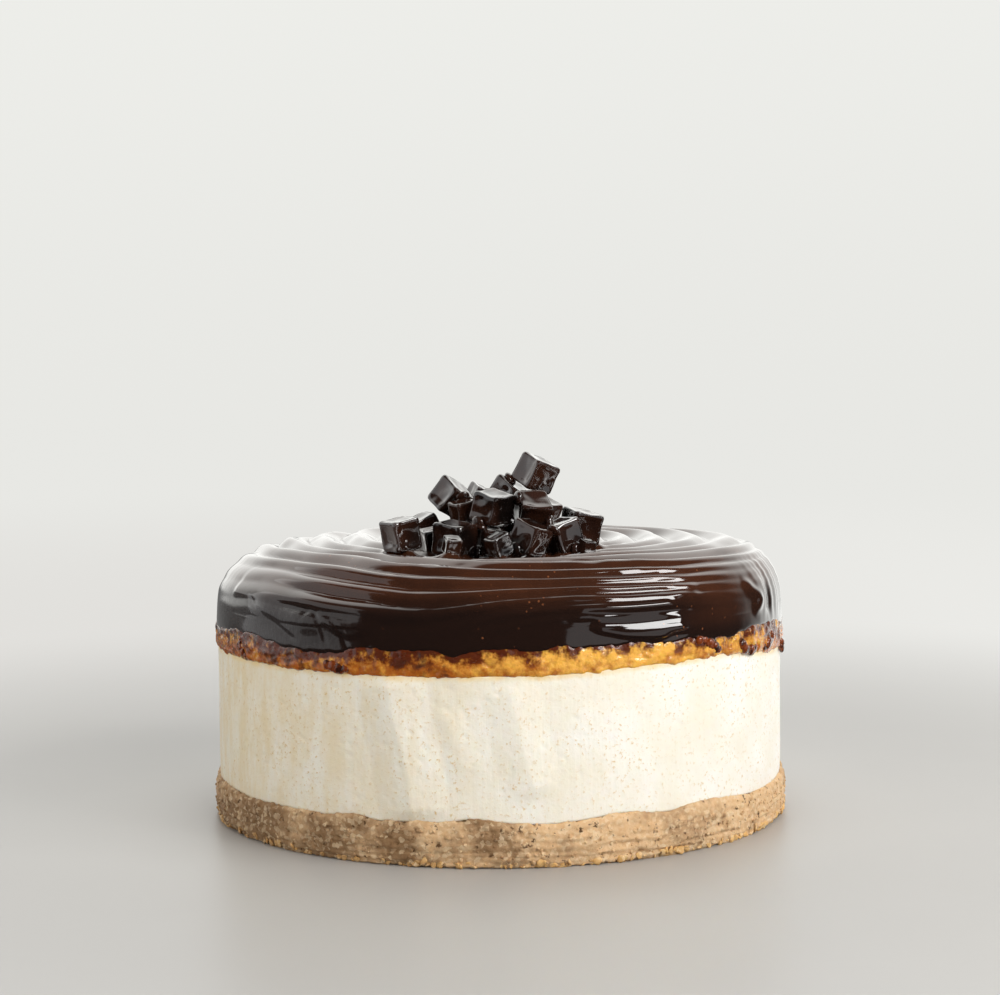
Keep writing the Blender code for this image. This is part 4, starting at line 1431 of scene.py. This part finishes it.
@dataclass
class CubeHeap:
    """The heap of glazed chocolate cubes, with the glaze that ties them together."""

    finish: Finish = ChocolateFinish()
    # Of half a cube's side: how round its edges are, how hollow its faces, how uneven, and how thick
    # its glaze.
    rounding: float = 0.34
    hollow: float = 0.19
    unevenness: float = 0.05
    swell: float = 0.03
    cuts: int = 19
    touching: float = 1.3 * MM
    neighbours: float = 16.0 * MM
    bead_size: tuple[float, float, float] = (2.0 * MM, 2.0 * MM, 1.0 * MM)

    @staticmethod
    def broad_planes(number: int) -> list[list[tuple[Vector, Vector]]]:
        """The broad faces of a cube's solid.

        Args:
            number: the cube's number in the heap, from 1.

        Returns:
            Three pairs of opposite faces, each face as its normal and its middle, turned so that the second
            faces of the pairs make a right-handed set of axes.
        """
        bm = bmesh.new()
        bm.from_mesh(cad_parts[f"chocolate_cube_{number:02d}"].data)
        bmesh.ops.remove_doubles(bm, verts=bm.verts, dist=1e-6)
        bmesh.ops.dissolve_limit(bm, angle_limit=math.radians(9.0), verts=bm.verts, edges=bm.edges)
        broad = sorted(bm.faces, key=lambda face: face.calc_area())[-6:]
        left = [(face.normal.copy(), face.calc_center_median()) for face in broad]
        bm.free()
        pairs = []
        while left:
            first = left.pop()
            other = min(left, key=lambda plane: plane[0].dot(first[0]))
            left.remove(other)
            pairs.append([first, other])
        if Matrix([pair[1][0] for pair in pairs]).determinant() < 0.0:
            pairs[0].reverse()
        return pairs

    def corners(self, number: int) -> np.ndarray:
        """A cube's eight corners, glaze and all.

        Args:
            number: the cube's number in the heap, from 1.

        Returns:
            The corners, by low or high face along each of the three axes.
        """
        pairs = self.broad_planes(number)
        side = (pairs[0][0][1] - pairs[0][1][1]).length
        made = np.zeros((2, 2, 2, 3))
        for i, j, k in np.ndindex(2, 2, 2):
            planes = (pairs[0][i], pairs[1][j], pairs[2][k])
            away = Vector([normal.dot(middle) + 0.5 * self.swell * side for normal, middle in planes])
            made[i, j, k] = Matrix([normal for normal, _ in planes]).inverted() @ away
        return made

    def cube(self, number: int) -> bpy.types.Mesh:
        """One cube with rounded edges, hollow faces and slightly uneven glaze.

        Args:
            number: the cube's number in the heap, from 1.

        Returns:
            Its mesh, where its solid lies.
        """
        bm = bmesh.new()
        bmesh.ops.create_cube(bm, size=2.0)
        bmesh.ops.subdivide_edges(bm, edges=bm.edges, cuts=self.cuts, use_grid_fill=True)
        unit = np.sin(0.5 * math.pi * np.array([vert.co for vert in bm.verts]))
        core = np.clip(unit, self.rounding - 1.0, 1.0 - self.rounding)
        off = unit - core
        place = core + self.rounding * off / np.linalg.norm(off, axis=1, keepdims=True)
        flat = 1.0 - np.abs(place) ** 2.5
        for axis in range(3):
            others = flat[:, (axis + 1) % 3] * flat[:, (axis + 2) % 3]
            on_face = np.sign(unit[:, axis]) * (np.abs(unit[:, axis]) > 0.9999)
            place[:, axis] -= self.hollow * on_face * others
        seed = Vector((3.1 * number, 0.0, 0.0))
        place += self.unevenness * np.array([noise.noise_vector(Vector(row) * 1.4 + seed) for row in place])
        shares = 0.5 + 0.5 * place
        corners = self.corners(number)
        made = np.zeros(place.shape)
        for i, j, k in np.ndindex(2, 2, 2):
            weight = np.prod(np.where((i, j, k), shares, 1.0 - shares), axis=1)
            made += weight[:, None] * corners[i, j, k]
        for vert, point in zip(bm.verts, made):
            vert.co = point
        return mesh_of(bm, "cube")

    def build(self) -> kdtree.KDTree:
        """Builds the cubes and the glaze between them.

        Returns:
            A tree of points on the cubes.
        """
        names = sorted(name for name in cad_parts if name.startswith("chocolate_cube_"))
        clouds = []
        for number, name in enumerate(names, start=1):
            mesh = self.cube(number)
            Piece(f"glazed_cube_{number:02d}", "chocolate", self.finish, (name,)).from_mesh(mesh)
            clouds.append(points_of(mesh).astype(float))
        self.glaze(clouds)
        return tree_of(np.vstack(clouds))

    def glaze(self, clouds: list[np.ndarray]) -> None:
        """Puts a small flat bead of glaze wherever two cubes meet.

        Args:
            clouds: the points of each cube.
        """
        bm = bmesh.new()
        trees = [tree_of(cloud) for cloud in clouds]
        for i, cloud in enumerate(clouds):
            for k in range(i):
                if np.linalg.norm(cloud.mean(axis=0) - clouds[k].mean(axis=0)) > self.neighbours:
                    continue
                found = [trees[k].find(point) for point in cloud]
                nearest = int(np.argmin([hit[2] for hit in found]))
                if found[nearest][2] < self.touching:
                    self.bead(bm, Vector(cloud[nearest]), found[nearest][0])
        Piece("glaze_beads", "chocolate", self.finish).from_mesh(mesh_of(bm, "glaze"))

    def bead(self, bm: bmesh.types.BMesh, here: Vector, there: Vector) -> None:
        """Adds one bead between two points, broad across the line between them."""
        line = there - here
        turn = Matrix.Identity(4)
        if line.length > 1e-7:
            turn = line.to_track_quat("Z", "Y").to_matrix().to_4x4()
        place = Matrix.Translation((here + there) / 2) @ turn @ Matrix.Diagonal((*self.bead_size, 1.0))
        bmesh.ops.create_icosphere(bm, subdivisions=3, radius=1.0, matrix=place)


@dataclass
class Studio:
    """The pale floor, the backdrop, the soft lights and the camera."""

    lens: float = 73.51
    camera_place: tuple[float, float, float] = (0.00027, -0.546248, 0.116769)
    camera_pitch: float = 0.063
    camera_roll: float = 0.009
    camera_shift: float = 0.00092
    floor_radius: float = 4.0
    backdrop: tuple[float, float, float, float] = (0.805, 0.805, 0.775, 1.0)
    backdrop_high: tuple[float, float, float, float] = (0.855, 0.858, 0.825, 1.0)

    def build(self) -> None:
        """Builds the floor, world, lights and camera."""
        self.floor()
        self.world()
        self.panel("window", (0.84, -0.46, 0.59), (0.62, 0.35), 9.5, (1.0, 0.995, 0.985))
        self.panel(
            "right_reflector", (0.87, -0.68, -0.04), (1.1, 0.55), 0.5, (0.97, 0.98, 1.0), diffuse=False
        )
        self.panel("left_reflector", (-1.0, 0.0, 0.24), (1.2, 1.0), 0.55, (0.98, 0.99, 1.0))
        self.panel("fill", (0.62, -0.92, 0.62), (0.8, 0.8), 3.9, (1.0, 0.99, 0.97), glossy=False)
        self.panel("left_fill", (-0.85, -0.75, 0.45), (0.8, 0.8), 2.2, (1.0, 0.985, 0.95), glossy=False)
        self.panel("top_fill", (0.1, 0.1, 1.3), (1.0, 1.0), 1.6, (1.0, 0.99, 0.97), glossy=False)
        self.camera()
        scene = bpy.context.scene
        scene.view_settings.view_transform = "Standard"
        scene.view_settings.look = "None"

    def floor(self) -> None:
        """Makes the floor, a wide disc that fades out."""
        bm = bmesh.new()
        bmesh.ops.create_circle(bm, cap_ends=True, radius=self.floor_radius, segments=96)
        mesh = mesh_of(bm, "studio_floor")
        mesh.materials.append(FloorFinish().material())
        floor = bpy.data.objects.new("studio_floor", mesh)
        floor.visible_glossy = False
        bpy.context.scene.collection.objects.link(floor)

    def world(self) -> None:
        """Makes the room's light: a bright backdrop, a dim ceiling and a dark camera side."""
        world = bpy.data.worlds.new("studio")
        bpy.context.scene.world = world
        world.use_nodes = True
        weaver = Weaver(world.node_tree)
        way = weaver.add("ShaderNodeTexCoord").outputs["Generated"]
        axes = weaver.add("ShaderNodeSeparateXYZ", {0: way}).outputs
        rightward = weaver.fit(axes[0], -0.1, 0.3)
        deep = weaver.math("SUBTRACT", axes[1], weaver.math("MULTIPLY", rightward, 0.2))
        level = weaver.math("MAXIMUM", weaver.fit(axes[2], -0.06, 0.04, 0.12, 1.0), rightward)
        left_end = weaver.fit(axes[0], -0.8, -0.4, 0.5, 1.0)
        over = weaver.fit(axes[2], 0.3, 0.5)
        level = weaver.math("MULTIPLY", level, weaver.math("MAXIMUM", left_end, over))
        back = weaver.math("MULTIPLY", weaver.fit(deep, 0.1, 0.55), level)
        off_middle = weaver.math("ABSOLUTE", axes[0])
        raised = weaver.math("MULTIPLY", weaver.math("MINIMUM", axes[0], 0.0), 0.1)
        raised = weaver.math("SUBTRACT", raised, weaver.fit(off_middle, 0.1, 0.4, 0.045, 0.0))
        low = weaver.fit(weaver.math("ADD", axes[2], raised), 0.84, 0.92, 1.0, 0.0)
        low = weaver.math("MULTIPLY", low, weaver.fit(axes[2], 0.5, 0.7, 1.0, 1.8))
        middle = weaver.fit(off_middle, 0.1, 0.35, 1.4, 1.0)
        high = weaver.fit(axes[2], 0.5, 0.7)
        middle = weaver.math("ADD", 1.0, weaver.math("MULTIPLY", high, weaver.math("SUBTRACT", middle, 1.0)))
        bright = weaver.math("MULTIPLY", weaver.math("MULTIPLY", back, low), middle)
        room = weaver.mix(bright, (0.035, 0.034, 0.035, 1.0), (1.2, 1.2, 1.16, 1.0))
        seen = weaver.mix(weaver.fit(axes[2], -0.05, 0.25), self.backdrop, self.backdrop_high)
        direct = weaver.add("ShaderNodeLightPath").outputs["Is Camera Ray"]
        output = world.node_tree.nodes["Background"]
        world.node_tree.links.new(weaver.mix(direct, room, seen), output.inputs["Color"])

    def panel(
        self, name: str, place: tuple, size: tuple, brightness: float, tint: tuple, glossy: bool = True,
        diffuse: bool = True,
    ) -> None:
        """Hangs a soft rectangular light that faces the cake.

        Args:
            name: its name.
            place: its middle.
            size: its width and height.
            brightness: how bright it looks, against 1 for the backdrop.
            tint: its colour.
            glossy: whether it mirrors in glossy faces.
            diffuse: whether it lights matt faces.
        """
        light = bpy.data.lights.new(name, "AREA")
        light.shape = "RECTANGLE"
        light.size, light.size_y = size
        light.energy = brightness * math.pi * size[0] * size[1]
        light.color = tint
        lamp = bpy.data.objects.new(name, light)
        towards = Vector((0.0, 0.0, 0.05)) - Vector(place)
        lamp.matrix_world = Matrix.Translation(place) @ towards.to_track_quat("-Z", "Y").to_matrix().to_4x4()
        lamp.visible_camera = False
        lamp.visible_glossy = glossy
        lamp.visible_diffuse = diffuse
        bpy.context.scene.collection.objects.link(lamp)

    def camera(self) -> None:
        """Sets the camera at the photo's angle."""
        camera = bpy.data.objects.new("camera", bpy.data.cameras.new("camera"))
        camera.data.lens = self.lens
        camera.data.shift_x = self.camera_shift
        camera.data.clip_start = 0.01
        pitch = Matrix.Rotation(0.5 * math.pi - self.camera_pitch, 4, "X")
        roll = Matrix.Rotation(-self.camera_roll, 4, "Z")
        camera.matrix_world = Matrix.Translation(self.camera_place) @ pitch @ roll
        bpy.context.scene.collection.objects.link(camera)
        bpy.context.scene.camera = camera


def main() -> None:
    """Builds the cake, piece by piece, and the studio round it."""
    noise.seed_set(NOISE_SEED)
    logging.basicConfig(level=logging.INFO, format="%(message)s")
    form = CakeForm()
    relief, scatter = ReliefTree(), ScatterTree()
    CrumbBase(form, relief, scatter).build()
    CreamLayer(form, relief).build()
    CaramelLayer(form, relief).build()
    cubes = CubeHeap().build()
    GanacheCap(form).build(cubes)
    Studio().build()


if __name__ == "__main__":
    main()
